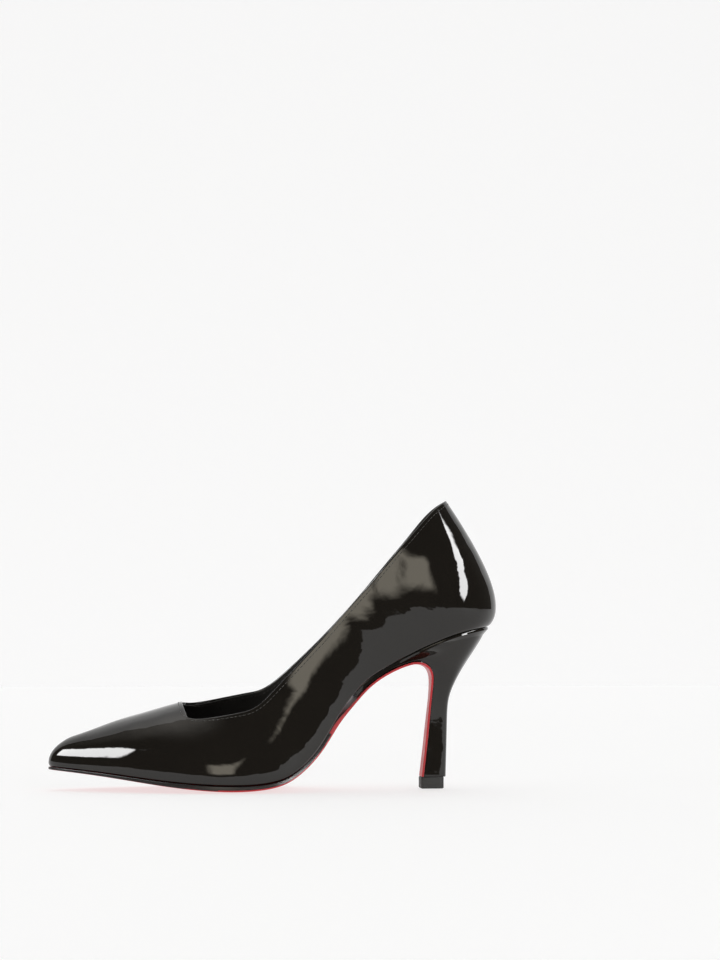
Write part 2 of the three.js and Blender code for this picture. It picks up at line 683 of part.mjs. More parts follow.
// ---------------------------------------------------------------- heel
const heelBackF = curve([0, 1, 2, 3, 4, 5, 6, 7, 8, 9], HEEL_BACK_F);
const heelBackZ = curve([0, 1, 2, 3, 4, 5, 6, 7, 8, 9], HEEL_BACK_Z);
const heelHalf = curve([0, 1, 2, 3, 4, 5, 6, 7, 8, 9], HEEL_HALF);
const heelSeat = curve([0, 1, 2, 3, 4, 5, 6, 7, 8, 9], HEEL_SEAT);
const heelBow = curve([0, 1, 2, 3, 4, 5, 6, 7, 8, 9], HEEL_BOW);
const WING_DEEP = 1.1;
const FULLEST = 24;
const CORNER = 2.5; // squareness of the shaft's back corners

const heelStation = (a) => WING_FRONT + a * (LAST - WING_FRONT);
const heelInset = (t) => lerp(0.6, 6.4, ease(stationF(t), 42, 74));
const seatPlan = (t, inset) => insetPlan(t, heelInset(t) + inset);

// Shaft outline: share of the way back and share of the half width, b from breast (0) to back (1).
function shaftOutline(b) {
  if (b < 0.45) return [(b / 0.45) * 0.6, 1];
  const angle = ((b - 0.45) / 0.55) * (Math.PI / 2);
  return [0.6 + 0.4 * Math.sin(angle) ** (2 / CORNER), Math.max(Math.cos(angle), 0) ** (2 / CORNER)];
}

// Section of the heel on a straight line between its breast and its back, bowed up where it spreads.
function heelSection(a, j, inset) {
  const plan = seatPlan(heelStation(a), inset);
  const side = a < 1 ? -1 : 1;
  const [along, wide] = shaftOutline(1 - Math.abs(a - 1));
  const front = breastAt(rowArch(j));
  const back = new THREE.Vector2(heelBackF(j), heelBackZ(j));
  back.lerp(front, inset / front.distanceTo(back));
  const seatFront = seatPlan(WING_FRONT, inset).x;
  const seatAlong = (seatFront - plan.x) / (seatFront - seatPlan(LAST, inset).x);
  const reached = lerp(along, seatAlong, heelSeat(j));
  const spot = front.lerp(back, reached);
  spot.y += heelBow(j) * Math.sin(Math.PI * reached);
  const scale = (heelHalf(j) - inset) / (FULLEST - inset);
  const y = lerp(side * wide * (heelHalf(j) - inset), plan.y * scale, heelSeat(j));
  return point(spot.x + skew(spot.x, y) + turnedBy(spot.y, y), y, spot.y);
}

// Section a depth under the seat.
function heelUnderSeat(a, depth, inset) {
  const plan = seatPlan(heelStation(a), inset);
  return floorAt(plan.x, plan.y, -GAP - depth);
}

// Heel surface: a runs round from the outer breast edge (0) by the back (1) to the inner one (2).
function heelAt(a, row, inset) {
  if (row <= 9) return heelSection(a, row, inset);
  if (row === 11) return heelUnderSeat(a, 0, inset);
  const share = row - 9;
  const made = heelSection(a, 9, inset).lerp(heelUnderSeat(a, WING_DEEP, inset), share);
  const edge = a < 1 ? 0 : 2;
  const start = heelSection(edge, 9, inset).lerp(heelUnderSeat(edge, WING_DEEP, inset), share);
  const foot = breastAt(rowArch(row));
  const near = 1 - ease(1 - Math.abs(a - 1), 0, 0.35);
  made.x += (-foot.x - skew(foot.x, start.y) - start.x) * near;
  made.z += (foot.y - start.z) * near;
  return made;
}

const HEEL_A = columns(WING_FRONT, ROUND - WING_FRONT).map((t) => (t - WING_FRONT) / (LAST - WING_FRONT));
const HEEL_B = HEEL_A.filter((a) => a <= 1);

function makeCover() {
  const body = new Body();
  body.patch(HEEL_A, HEEL_ROWS, (a, j) => [heelAt(a, j, 0), heelAt(a, j, COVER)]);
  return body.geometry();
}

function makeCore() {
  const body = new Body();
  const across = steps(4);
  const inset = CORE_INSET;
  body.patch(HEEL_A, HEEL_ROWS, (a, j) => heelAt(a, j, inset));
  const low = HEEL_ROWS.filter((j) => j <= 10);
  body.patch(low, across, (j, k) => heelAt(0, j, inset).lerp(heelAt(2, j, inset), k));
  body.patch([10, 11], across, (j, k) => {
    if (j === 10) return heelAt(0, j, inset).lerp(heelAt(2, j, inset), k);
    const p = seatPlan(WING_FRONT, inset).lerp(seatPlan(ROUND - WING_FRONT, inset), k);
    return floorAt(p.x, p.y, -GAP);
  });
  body.patch(HEEL_B, across, (b, k) => {
    const p = seatPlan(heelStation(b), inset).lerp(seatPlan(heelStation(2 - b), inset), k);
    return floorAt(p.x, p.y, -GAP);
  });
  body.patch(HEEL_B, across, (b, k) => heelAt(b, 0, inset).lerp(heelAt(2 - b, 0, inset), k));
  return body.geometry();
}

// Round rod between two places on the shoe's middle plane.
function rod(radius, from, to) {
  const a = point(from[0], 0, from[1]);
  const b = point(to[0], 0, to[1]);
  const made = new THREE.CylinderGeometry(radius, radius, a.distanceTo(b), 14);
  const axis = b.clone().sub(a).normalize();
  made.applyQuaternion(new THREE.Quaternion().setFromUnitVectors(new THREE.Vector3(0, 1, 0), axis));
  made.translate((a.x + b.x) / 2, (a.y + b.y) / 2, (a.z + b.z) / 2);
  return made;
}

// Places along the shaft's middle line.
const SHAFT_LOW = [34.4, 6.6];
const SHAFT_HIGH = [31.4, 45];
const shaftPlace = (k) => SHAFT_LOW.map((value, i) => lerp(value, SHAFT_HIGH[i], k));
const bore = rod(1.75, shaftPlace(-0.1), shaftPlace(1.02));
add('heel_block', cut(makeCore(), [screwTool, ...nailTools, bore]), paint(0x26262a, 0.5));
add('heel_cover', makeCover(), patent());
const tubeHole = rod(0.95, shaftPlace(-0.1), shaftPlace(1.1));
add('heel_tube', cut(rod(1.5, shaftPlace(0), shaftPlace(1)), [tubeHole]), steel());

// Replaceable heel tip with its steel pin.
function makeTip() {
  const outline = new THREE.Shape();
  const [back, front, half, round, corner] = [-29, -41.4, 5.8, 3, 1.2];
  outline.moveTo(front + corner, -half);
  outline.lineTo(back - round, -half);
  outline.quadraticCurveTo(back, -half, back, -half + round);
  outline.lineTo(back, half - round);
  outline.quadraticCurveTo(back, half, back - round, half);
  outline.lineTo(front + corner, half);
  outline.quadraticCurveTo(front, half, front, half - corner);
  outline.lineTo(front, -half + corner);
  outline.quadraticCurveTo(front, -half, front + corner, -half);
  const made = new THREE.ExtrudeGeometry(outline, { depth: TIP_HEIGHT, bevelEnabled: false, curveSegments: 5 });
  made.translate(SHAFT_LOW[0], 0, 0);
  made.rotateZ(Math.atan(HEEL_TURN));
  made.translate(-SHAFT_LOW[0], 0, 0);
  return made;
}
const PIN_DEEP = 3.2;
const pinPlace = (z) => [lerp(SHAFT_LOW[0], SHAFT_HIGH[0], (z - SHAFT_LOW[1]) / 38.4), z];
const pinHole = rod(0.85, pinPlace(PIN_DEEP - 0.2), pinPlace(TIP_HEIGHT + 2));
add('top_piece', cut(makeTip(), [pinHole]), paint(0x1c1c1a, 0.75));
add('top_piece_pin', rod(0.65, pinPlace(PIN_DEEP), pinPlace(20)), steel());

// ---------------------------------------------------------------- common frame
// Middle of the shoe's box over the origin, tread and heel tip on Z = 0.
const box = new THREE.Box3().setFromObject(shoe);
shoe.position.set(-(box.min.x + box.max.x) / 2, -(box.min.y + box.max.y) / 2, -box.min.z);
shoe.updateMatrixWorld(true);

export default shoe;
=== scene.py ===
import math

import bmesh
import bpy
import numpy as np
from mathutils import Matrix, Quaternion, Vector


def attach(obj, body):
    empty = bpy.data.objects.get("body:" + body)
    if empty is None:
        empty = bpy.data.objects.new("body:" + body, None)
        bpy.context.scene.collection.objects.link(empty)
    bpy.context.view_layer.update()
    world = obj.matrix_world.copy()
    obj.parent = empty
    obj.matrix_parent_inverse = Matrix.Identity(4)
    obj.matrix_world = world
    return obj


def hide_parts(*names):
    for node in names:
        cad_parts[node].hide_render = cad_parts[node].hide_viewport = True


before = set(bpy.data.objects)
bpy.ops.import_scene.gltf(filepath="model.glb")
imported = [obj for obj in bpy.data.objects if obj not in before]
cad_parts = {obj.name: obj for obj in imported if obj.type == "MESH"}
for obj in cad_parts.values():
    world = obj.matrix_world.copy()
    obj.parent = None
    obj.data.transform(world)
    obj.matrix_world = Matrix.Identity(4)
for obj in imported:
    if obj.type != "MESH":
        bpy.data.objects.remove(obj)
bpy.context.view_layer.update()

# ------------------------------------------------------------ the shoe's dimensions, as in the CAD, mm
# Distances f run forward from the back of the heel, y to the shoe's inner side, z up.
SHIFT = np.array([119.9506, 1.5989, 0.0])
GAP, UPPER, LINING, COVER = 0.3, 1.1, 0.7, 0.9
PUFF, COUNTER, INSOLE, SOCK = 0.8, 1.2, 1.8, 0.9
MARGIN, MARGIN_HEEL, LINING_MARGIN = 9.0, 6.5, 5.0
WALLS = 2 * GAP + UPPER + LINING
INSOLE_HIGH = WALLS + INSOLE
PAD_LOW, PAD, PAD_EDGE = INSOLE_HIGH + GAP, 2.0, 0.6
THROAT, WING_FRONT, TIP_HEIGHT, FLAP = 5.6, 9.25, 6.1, 1.1
CAMBER, CAMBER_AT, SKEW, SKEW_FROM, HEEL_TURN = 1.2, 38, 0.06, -24, 0.05
# Stations round the foot, toe to back of heel: the feather edge, the crest above it and the wall's form.
F = [239, 236.4, 226.2, 208.8, 187.2, 163.6, 141.2, 120, 101, 82, 58, 33, 12.5, 4.5]
EDGE_OUT = [2, -4.6, -12, -21, -30.5, -37.8, -39.5, -36, -30, -24.5, -22.5, -24, -18.6, 0]
EDGE_IN = [2, 8.2, 14.5, 22.5, 30.5, 36, 35.5, 29.5, 21.5, 16, 17.5, 22.5, 18.6, 0]
CREST_F = [229, 227, 218, 203.2, 188.6, 176, 163.6, 147.5, 131, 112, 88, 60, 41, 36]
CREST_Z = [27, 28, 31.1, 36.5, 40.8, 44.4, 48.4, 58, 73, 94, 122, 149, 162, 166]
CREST_Y = [2, 2, 2, 2, 2.5, 3, 3.3, 3.8, 2.4, 1, 0, 0, 0, 0]
CREST_SPREAD = [0, 0, 0, 0, 0, 0, 2, 8, 14, 15.7, 16, 16.5, 11, 0]
RISE = [0.45, 0.45, 0.45, 0.42, 0.4, 0.38, 0.36, 0.34, 0.32, 0.3, 0.26, 0.21, 0.17, 0.155]
LEAN_OUT = [12, 12, 12, 12, 12, 12, 12, 12, 12, 12, 16, 26, 42, 47]
LEAN_IN = [12, 12, 12, 12, 10, 8, 10, 20, 28, 30, 24, 28, 42, 47]
REACH = [6, 7, 10, 15, 21, 25, 27, 24, 16, 11, 9, 9, 15, 22]
DROP = [0, 0, 0, 0, 0, 0, -0.5, -1.5, -3, -5, -10, -18, -28, -31]
# Underside of the upper along the shoe.
FLOOR_F = [-10, 3, 20, 34.6, 48.4, 62, 72, 80.2, 88.4, 97, 105.4, 114, 124.3, 139, 157, 178, 199, 219.5, 238,
           248]
FLOOR_Z = [91.5, 88, 84.2, 78.9, 72.6, 65.4, 58.4, 49.2, 37.1, 23.6, 14.4, 8.2, 4.9, 3.7, 4.2, 6.2, 9.1,
           11.7, 13.4, 14.1]
# Topline on the outer and the inner side.
TOP_F = [-10, 10, 22, 28, 34, 43, 52, 62, 72, 84, 94, 104, 112, 120, 126, 132, 140, 150, 163, 169]
TOP_OUT = [172, 162, 156, 152.8, 148.7, 139.5, 129.3, 117.7, 105.9, 92.4, 80.9, 70.2, 61.7, 53.4, 47.3, 43.3,
           41, 39.2, 37.8, 37.6]
TOP_IN = [172, 162, 156, 152.4, 147.8, 137.4, 126.3, 114.3, 102.3, 88.8, 78.2, 68.4, 61, 54.4, 51.2, 49.9,
          48.5, 46.8, 45.2, 45.2]
# Outer face of the sole over the arch and down the breast, its half width, and its edges at the waist.
ARCH_F = [81.9, 75.7, 69.1, 62.6, 56.1, 49, 43, 38.4, 36.2, 36, 36.4, 37.1, 38.1, 39.4, 41.1]
ARCH_Z = [39.2, 46.8, 53.9, 59, 62.7, 65.6, 66.6, 64.6, 60.6, 55.6, 50, 43, 33.5, 21, 6.5]
ARCH_HALF = [14.6, 14.3, 14.2, 14.4, 14.8, 15.2, 15.4, 14.2, 11, 8.2, 6.4, 5.1, 4.9, 5.1, 5.5]
WAIST_F = [70, 80, 90, 100, 110, 120, 130]
WAIST_OUT = [-16.8, -17.4, -19.4, -24.4, -31, -36, -38.4]
WAIST_IN = [11.6, 11.6, 12.4, 15.8, 22.4, 28.6, 32.6]
# Heel sections from the tip up to the seat: back line, half width, share of the seat's outline, bow.
HEEL_BACK_F = [27.7, 27.3, 27, 26.6, 25.4, 22.8, 18.7, 13.8, 9.8, 7.4]
HEEL_BACK_Z = [6.4, 21, 33.5, 43, 49.8, 56.4, 64, 71.6, 77.8, 82]
HEEL_HALF = [5.6, 5.2, 5, 5.2, 6.2, 8, 11.2, 15.4, 19.2, 21.6]
HEEL_SEAT = [0, 0, 0, 0, 0.05, 0.15, 0.35, 0.6, 0.85, 1]
HEEL_BOW = [0, 0, 0, 0, 0, 0, 0, 0.1, 1.3, 4]
SOLE_F = [60, 84, 100, 118, 140, 165, 190, 215, 240]
SOLE_THICK = [1.6, 3, 2.5, 2.5, 2.9, 2.6, 2, 1.5, 1.2]
LAST = len(F) - 1
ROUND = 2 * LAST
SEAM = 0.3  # opening of the back seam


# ------------------------------------------------------------ curves
class Curve:
    """Smooth curve through the values y at the places x."""

    def __init__(self, x, y):
        self.x, self.y = np.array(x, float), np.array(y, float)
        h = np.diff(self.x)
        n = len(x)
        rows = np.eye(n)
        pull = np.zeros(n)
        for i in range(1, n - 1):
            rows[i, i - 1:i + 2] = h[i - 1], 2 * (h[i - 1] + h[i]), h[i]
            pull[i] = 6 * ((y[i + 1] - y[i]) / h[i] - (y[i] - y[i - 1]) / h[i - 1])
        self.bend = np.linalg.solve(rows, pull)

    def __call__(self, q):
        q = np.asarray(q, float)
        k = np.clip(np.searchsorted(self.x, q) - 1, 0, len(self.x) - 2)
        h = self.x[k + 1] - self.x[k]
        a = (self.x[k + 1] - q) / h
        b = (q - self.x[k]) / h
        cubic = (a ** 3 - a) * self.bend[k] + (b ** 3 - b) * self.bend[k + 1]
        return a * self.y[k] + b * self.y[k + 1] + cubic * h * h / 6


def loop(outer, inner=None):
    inner = outer if inner is None else inner
    places = list(range(-4, ROUND + 5))
    values = [outer[k % ROUND] if k % ROUND <= LAST else inner[ROUND - k % ROUND] for k in places]
    through = Curve(places, values)
    return lambda t: through(np.mod(t, ROUND))


def ease(x, low, high):
    s = np.clip((np.asarray(x, float) - low) / (high - low), 0, 1)
    return s * s * (3 - 2 * s)


def mix(a, b, k):
    return a + (b - a) * k


station_f, edge_y = loop(F), loop(EDGE_OUT, EDGE_IN)
crest_f, crest_z, crest_mid = loop(CREST_F), loop(CREST_Z), loop(CREST_Y)
crest_spread = loop([-s for s in CREST_SPREAD], CREST_SPREAD)
rise, lean = loop(RISE), loop(LEAN_OUT, LEAN_IN)
reach, drop = loop(REACH), loop(DROP)
crest_line = Curve(CREST_F[::-1], CREST_Z[::-1])
floor_z = Curve(FLOOR_F, FLOOR_Z)
top_out, top_in = Curve(TOP_F, TOP_OUT), Curve(TOP_F, TOP_IN)
sole_thick = Curve(SOLE_F, SOLE_THICK)
waist_out, waist_in = Curve(WAIST_F, WAIST_OUT), Curve(WAIST_F, WAIST_IN)
arch_f, arch_z, arch_half = (Curve(range(15), v) for v in (ARCH_F, ARCH_Z, ARCH_HALF))
heel_back_f, heel_back_z = Curve(range(10), HEEL_BACK_F), Curve(range(10), HEEL_BACK_Z)
heel_half, heel_seat, heel_bow = (Curve(range(10), v) for v in (HEEL_HALF, HEEL_SEAT, HEEL_BOW))
row_arch = Curve(range(11), [14, 13, 12, 11, 10, 9, 8, 7, 5.6, 3.4, 1.15])


def from_toe(t):
    m = np.mod(t, ROUND)
    return np.minimum(m, ROUND - m)


def point(f, y, z):
    return np.stack(np.broadcast_arrays(-np.asarray(f, float), y, z), -1)


def unit(v):
    return v / np.maximum(np.linalg.norm(v, axis=-1, keepdims=True), 1e-12)


def outward(t):
    e = 0.001
    df = station_f(t + e) - station_f(t - e)
    dy = edge_y(t + e) - edge_y(t - e)
    return unit(np.stack([-dy, df], -1))


# ------------------------------------------------------------ underside and walls of the upper
def skew(f, y):
    return SKEW * (y - SKEW_FROM) * ease(f, 56, 82) * (1 - ease(f, 118, 142))


def turned_by(z, y):
    return HEEL_TURN * y * (1 - ease(z, 30, 52))


def under(f, y):
    return floor_z(f - skew(f, y)) - CAMBER * (1 - (y / CAMBER_AT) ** 2)


def floor_at(f, y, h):
    e = 0.01
    up = np.stack([-(under(f + e, y) - under(f - e, y)) / (2 * e),
                   -(under(f, y + e) - under(f, y - e)) / (2 * e), np.ones_like(f * y)], -1)
    up = unit(up)
    return point(f + up[..., 0] * h, y + up[..., 1] * h, under(f, y) + up[..., 2] * h)


def spine(t):
    s = np.clip(from_toe(t), 2.6, 11.4)
    return np.stack([np.clip(station_f(t), 24, 216), (edge_y(s) + edge_y(-s)) / 2], -1)


def inset_plan(t, d):
    edge = np.stack([station_f(t), edge_y(t)], -1)
    inwards = spine(t) - edge
    whole = np.linalg.norm(inwards, axis=-1)
    inwards = unit(inwards)
    square = np.maximum(0.5, -(inwards * outward(t)).sum(-1))
    return edge + inwards * np.minimum(d / square, 0.9 * whole)[..., None]


def turned_in(t, d, h):
    p = inset_plan(t, d)
    return floor_at(p[..., 0], p[..., 1], h)


def skin(t, v):
    t, v = np.broadcast_arrays(np.asarray(t, float), np.asarray(v, float))
    sf, sy, cf = station_f(t), edge_y(t), crest_f(t)
    foot = np.stack([sf, sy, under(sf, sy)], -1)
    crest_y = crest_mid(t) + crest_spread(t) * ease(from_toe(t), THROAT, 7)
    crest = np.stack([cf, crest_y, crest_z(t)], -1)
    out = np.concatenate([outward(t), np.zeros(t.shape + (1,))], -1)
    up = crest - foot
    up = up - out * (up * out).sum(-1, keepdims=True)
    wall = np.linalg.norm(up, axis=-1)[..., None]
    risen = rise(t)[..., None]
    low = foot + up * risen + out * risen * wall * np.tan(np.radians(lean(t)))[..., None]
    slope = (crest_line(cf + 0.1) - crest_line(cf - 0.1)) / 0.2
    high = crest + out * reach(t)[..., None]
    high[..., 2] += mix(slope * out[..., 0] * reach(t), drop(t), ease(from_toe(t), 5.5, 7.5))
    v = v[..., None]
    u = 1 - v
    p = u ** 3 * foot + 3 * u * u * v * low + 3 * u * v * v * high + v ** 3 * crest
    return point(p[..., 0], p[..., 1], p[..., 2])


def wall_normal(t, v):
    e = 0.004
    w = np.clip(v, 0.02, 0.97)
    return unit(np.cross(skin(t + e, w) - skin(t - e, w), skin(t, w + e) - skin(t, w - e)))


def wall_at(t, v, depth):
    return skin(t, v) - wall_normal(t, v) * np.asarray(depth, float)[..., None]


CORNER_ROUND = 0.045  # how far the throat's corners are filled, as a share of the wall
CORNER_SPAN = 0.32  # and along the topline, in stations


def top_cut(t):
    t = np.asarray(t, float)
    inner = np.mod(t, ROUND) > LAST
    low, high = np.full(t.shape, 0.25), np.ones(t.shape)
    for _ in range(40):
        mid = (low + high) / 2
        p = skin(t, mid)
        line = np.where(inner, top_in(-p[..., 0]), top_out(-p[..., 0]))
        below = p[..., 2] < line
        low, high = np.where(below, mid, low), np.where(below, high, mid)
    near = np.clip(1 - (from_toe(t) - THROAT) / CORNER_SPAN, 0, 1)
    return (low + high) / 2 + CORNER_ROUND * (1 - np.sqrt(1 - near ** 2))


THROAT_CUT = {side: float(top_cut(np.array(side * THROAT))) for side in (1, -1)}


TOE_SPLIT = 0.55  # share of the wall below the line that parts wall and vamp at the toe


def panel_top(t):
    m = np.mod(t, ROUND)
    cut = top_cut(t)
    outer = mix(TOE_SPLIT, THROAT_CUT[1], m / THROAT)
    inner = mix(TOE_SPLIT, THROAT_CUT[-1], (ROUND - m) / THROAT)
    return np.where(from_toe(t) >= THROAT - 1e-6, cut, np.where(m <= LAST, outer, inner))


def bulge(t, share):
    """Room that the toe puff and the heel counter take up behind the lining."""
    s = from_toe(t)
    toe = (PUFF + GAP) * (1 - ease(s, 3.7, 4.6))
    return toe + (COUNTER + GAP) * ease(s, 9.4, 10.3) * (1 - ease(share, 0.8, 0.93))


# ------------------------------------------------------------ mesh building
def columns(a, b, step=0.05):
    base = np.arange(math.ceil(a / step - 1e-6), math.floor(b / step + 1e-6) + 1) * step
    base = base[(base > a + step * 0.3) & (base < b - step * 0.3)]
    return np.round(np.concatenate([[a], base, [b]]), 6)


def grid(cols, rows, at):
    t, s = np.meshgrid(cols, rows, indexing="ij")
    return at(t, s)


def mesh_object(name, verts, faces, materials, indices=None, smooth_angle=40):
    mesh = bpy.data.meshes.new(name)
    mesh.from_pydata([tuple(v) for v in (verts + SHIFT) / 1000], [], [tuple(map(int, f)) for f in faces])
    for made in materials:
        mesh.materials.append(made)
    if indices is not None:
        mesh.polygons.foreach_set("material_index", np.array(indices, np.int32))
    work = bmesh.new()
    work.from_mesh(mesh)
    bmesh.ops.dissolve_degenerate(work, dist=2e-6, edges=work.edges)
    bmesh.ops.recalc_face_normals(work, faces=work.faces)
    for face in work.faces:
        face.smooth = True
    limit = math.radians(smooth_angle)
    for edge in work.edges:
        if len(edge.link_faces) == 2 and edge.calc_face_angle(0) > limit:
            edge.smooth = False
    work.to_mesh(mesh)
    work.free()
    piece = bpy.data.objects.new(name, mesh)
    bpy.context.scene.collection.objects.link(piece)
    return piece


MERGE = 40  # points are joined where they agree to this share of a millimetre


def shell(name, patches, materials, rim_rows=6, square=1.0, proud=1.0, rim_material=None):
    """Closed sheet from (front grid, back grid) pairs, its edges rounded."""
    fronts = np.concatenate([f.reshape(-1, 3) for f, _ in patches])
    backs = np.concatenate([b.reshape(-1, 3) for _, b in patches])
    _, first, back_of = np.unique(np.round(fronts * MERGE).astype(int), axis=0, return_index=True,
                                  return_inverse=True)
    back_of = back_of.reshape(-1)
    faces, start = [], 0
    for f, _ in patches:
        n, m = f.shape[:2]
        ids = back_of[start:start + n * m].reshape(n, m)
        start += n * m
        quads = np.stack([ids[:-1, :-1], ids[1:, :-1], ids[1:, 1:], ids[:-1, 1:]], -1).reshape(-1, 4)
        for q in quads.tolist():
            ring = [a for k, a in enumerate(q) if a != q[k - 1]]
            if len(set(ring)) == len(ring) and len(ring) > 2:
                faces.append(ring)
    front, back = fronts[first], backs[first]
    count = len(front)
    uses = {}
    for number, face in enumerate(faces):
        for k, a in enumerate(face):
            uses.setdefault(frozenset((a, face[k - 1])), []).append((number, face[k - 1], a))
    edges = [seen[0] for seen in uses.values() if len(seen) == 1]
    away = np.zeros((count, 3))
    along = {}
    for number, a, b in edges:
        middle = front[faces[number]].mean(0)
        for k in (a, b):
            away[k] += front[k] - middle
        along.setdefault(a, []).append(front[b] - front[a])
        along.setdefault(b, []).append(front[b] - front[a])
    rings = {}
    verts = [front, back]
    total = 2 * count
    sweep = [math.pi * (k + 1) / (rim_rows + 1) for k in range(rim_rows)]
    for k, runs in along.items():
        span = (front[k] - back[k]) / 2
        size = np.linalg.norm(span)
        tangent = np.sum([unit(r) for r in runs], axis=0)
        side = unit(np.cross(tangent, span))
        if side @ away[k] < 0:
            side = -side
        ring = []
        for angle in sweep:
            c, s = math.cos(angle), math.sin(angle)
            c = math.copysign(abs(c) ** square, c)
            ring.append((front[k] + back[k]) / 2 + span * c + side * size * proud * s ** square)
        verts.append(np.array(ring))
        rings[k] = [k] + list(range(total, total + rim_rows)) + [k + count]
        total += rim_rows
    kinds = [0] * (2 * len(faces))
    faces = faces + [[a + count for a in face[::-1]] for face in faces]
    for number, a, b in edges:
        for k in range(rim_rows + 1):
            faces.append([rings[a][k], rings[b][k], rings[b][k + 1], rings[a][k + 1]])
            kinds.append(rim_material(k / rim_rows, front[a]) if rim_material else 0)
    return mesh_object(name, np.concatenate(verts), faces, materials, kinds)


# ------------------------------------------------------------ materials
class Nodes:
    """Small helper that adds linked nodes to a material."""

    def __init__(self, name):
        self.material = bpy.data.materials.new(name)
        self.material.use_nodes = True
        self.tree = self.material.node_tree
        self.shader = self.tree.nodes["Principled BSDF"]
        coords = self.tree.nodes.new("ShaderNodeTexCoord")
        self.place = coords.outputs["Object"]

    def put(self, socket, value):
        if hasattr(value, "is_output"):
            self.tree.links.new(value, socket)
        else:
            socket.default_value = value

    def node(self, kind, inputs=(), **settings):
        made = self.tree.nodes.new(kind)
        for key, value in settings.items():
            setattr(made, key, value)
        for key, value in dict(inputs).items():
            self.put(made.inputs[key], value)
        return made

    def noise(self, scale, detail=3.0, roughness=0.5, distortion=0.0, place=None):
        inputs = {"Vector": place or self.place, "Scale": scale, "Detail": detail, "Roughness": roughness,
                  "Distortion": distortion}
        return self.node("ShaderNodeTexNoise", inputs).outputs["Fac"]

    def stretch(self, scale):
        made = self.node("ShaderNodeMapping", {"Vector": self.place, "Scale": scale})
        return made.outputs["Vector"]

    def cells(self, scale):
        made = self.node("ShaderNodeTexVoronoi", {"Vector": self.place, "Scale": scale},
                         feature="DISTANCE_TO_EDGE")
        return made.outputs[0]

    def ramp(self, value, low, high, to_low, to_high):
        inputs = {"Value": value, "From Min": low, "From Max": high, "To Min": to_low, "To Max": to_high}
        return self.node("ShaderNodeMapRange", inputs).outputs["Result"]

    def blend(self, share, first, second):
        made = self.node("ShaderNodeMix", {0: share}, data_type="RGBA")
        self.put(made.inputs[6], first)
        self.put(made.inputs[7], second)
        return made.outputs[2]

    def bump(self, height, strength, distance, normal=None):
        inputs = {"Height": height, "Strength": strength, "Distance": distance}
        if normal is not None:
            inputs["Normal"] = normal
        return self.node("ShaderNodeBump", inputs).outputs["Normal"]

    def finish(self, **values):
        for key, value in values.items():
            self.put(self.shader.inputs[key.replace("_", " ")], value)
        return self.material


def patent_leather(name, wrinkle=1.0):
    """Black varnished leather: broad waves, finer ripples and a faint orange peel under a clear gloss."""
    n = Nodes(name)
    haze = n.noise(160, 4, 0.6)
    colour = n.blend(n.noise(45, 3), (0.0075, 0.0058, 0.004, 1), (0.012, 0.0095, 0.0066, 1))
    waves = n.bump(n.noise(24, 1.5, 0.4, 0.6), wrinkle, 0.0016)
    ripples = n.bump(n.noise(85, 2, 0.4, 0.4), 0.5 * wrinkle, 0.0003, waves)
    peel = n.bump(n.noise(420, 2, 0.5), 0.05, 0.0002, ripples)
    gloss = n.ramp(haze, 0.3, 0.75, 0.025, 0.06)
    return n.finish(Base_Color=colour, Roughness=gloss, Normal=peel, IOR=1.52)


def grain_leather(name, dark, light, rough):
    n = Nodes(name)
    cells = n.cells(1500)
    colour = n.blend(n.noise(120, 4), dark, light)
    fine = n.bump(cells, 0.35, 0.00012)
    soft = n.bump(n.noise(300, 3), 0.2, 0.0002, fine)
    polish = n.ramp(n.noise(500, 2), 0.3, 0.7, rough - 0.08, rough + 0.08)
    return n.finish(Base_Color=colour, Roughness=polish, Normal=soft, IOR=1.45)


def nap_leather(name):
    n = Nodes(name)
    colour = n.blend(n.noise(700, 5, 0.7), (0.012, 0.011, 0.01, 1), (0.04, 0.036, 0.03, 1))
    return n.finish(Base_Color=colour, Roughness=0.95, Sheen_Weight=0.25, Sheen_Roughness=0.5,
                    Normal=n.bump(n.noise(2600, 3, 0.7), 0.4, 0.0001))


def sole_lacquer(name):
    n = Nodes(name)
    drag = n.noise(240, 4, 0.6, place=n.stretch((0.18, 1, 1)))
    wear = n.noise(40, 4)
    colour = n.blend(n.ramp(wear, 0.35, 0.7, 0, 1), (0.62, 0.014, 0.024, 1), (0.5, 0.011, 0.018, 1))
    colour = n.blend(n.ramp(drag, 0.45, 0.8, 0, 0.35), colour, (0.7, 0.04, 0.05, 1))
    return n.finish(Base_Color=colour, Roughness=n.ramp(drag, 0.3, 0.7, 0.3, 0.46), IOR=1.5,
                    Normal=n.bump(n.noise(900, 3, 0.6, place=n.stretch((0.3, 1, 1))), 0.12, 0.0001))


def edge_ink(name):
    n = Nodes(name)
    layers = n.noise(900, 3, 0.6, place=n.stretch((0.1, 0.1, 2.5)))
    colour = n.blend(n.noise(200, 3), (0.006, 0.005, 0.005, 1), (0.02, 0.014, 0.013, 1))
    return n.finish(Base_Color=colour, Roughness=n.ramp(layers, 0.3, 0.7, 0.22, 0.4),
                    Normal=n.bump(layers, 0.2, 0.0001))


def cast_rubber(name):
    n = Nodes(name)
    speck = n.noise(1400, 3, 0.6)
    scuff = n.noise(300, 4, 0.7, place=n.stretch((0.4, 0.4, 2)))
    colour = n.blend(n.ramp(scuff, 0.5, 0.8, 0, 0.7), (0.018, 0.018, 0.017, 1), (0.05, 0.048, 0.045, 1))
    return n.finish(Base_Color=colour, Roughness=n.ramp(scuff, 0.3, 0.7, 0.5, 0.72),
                    Normal=n.bump(speck, 0.25, 0.0001))


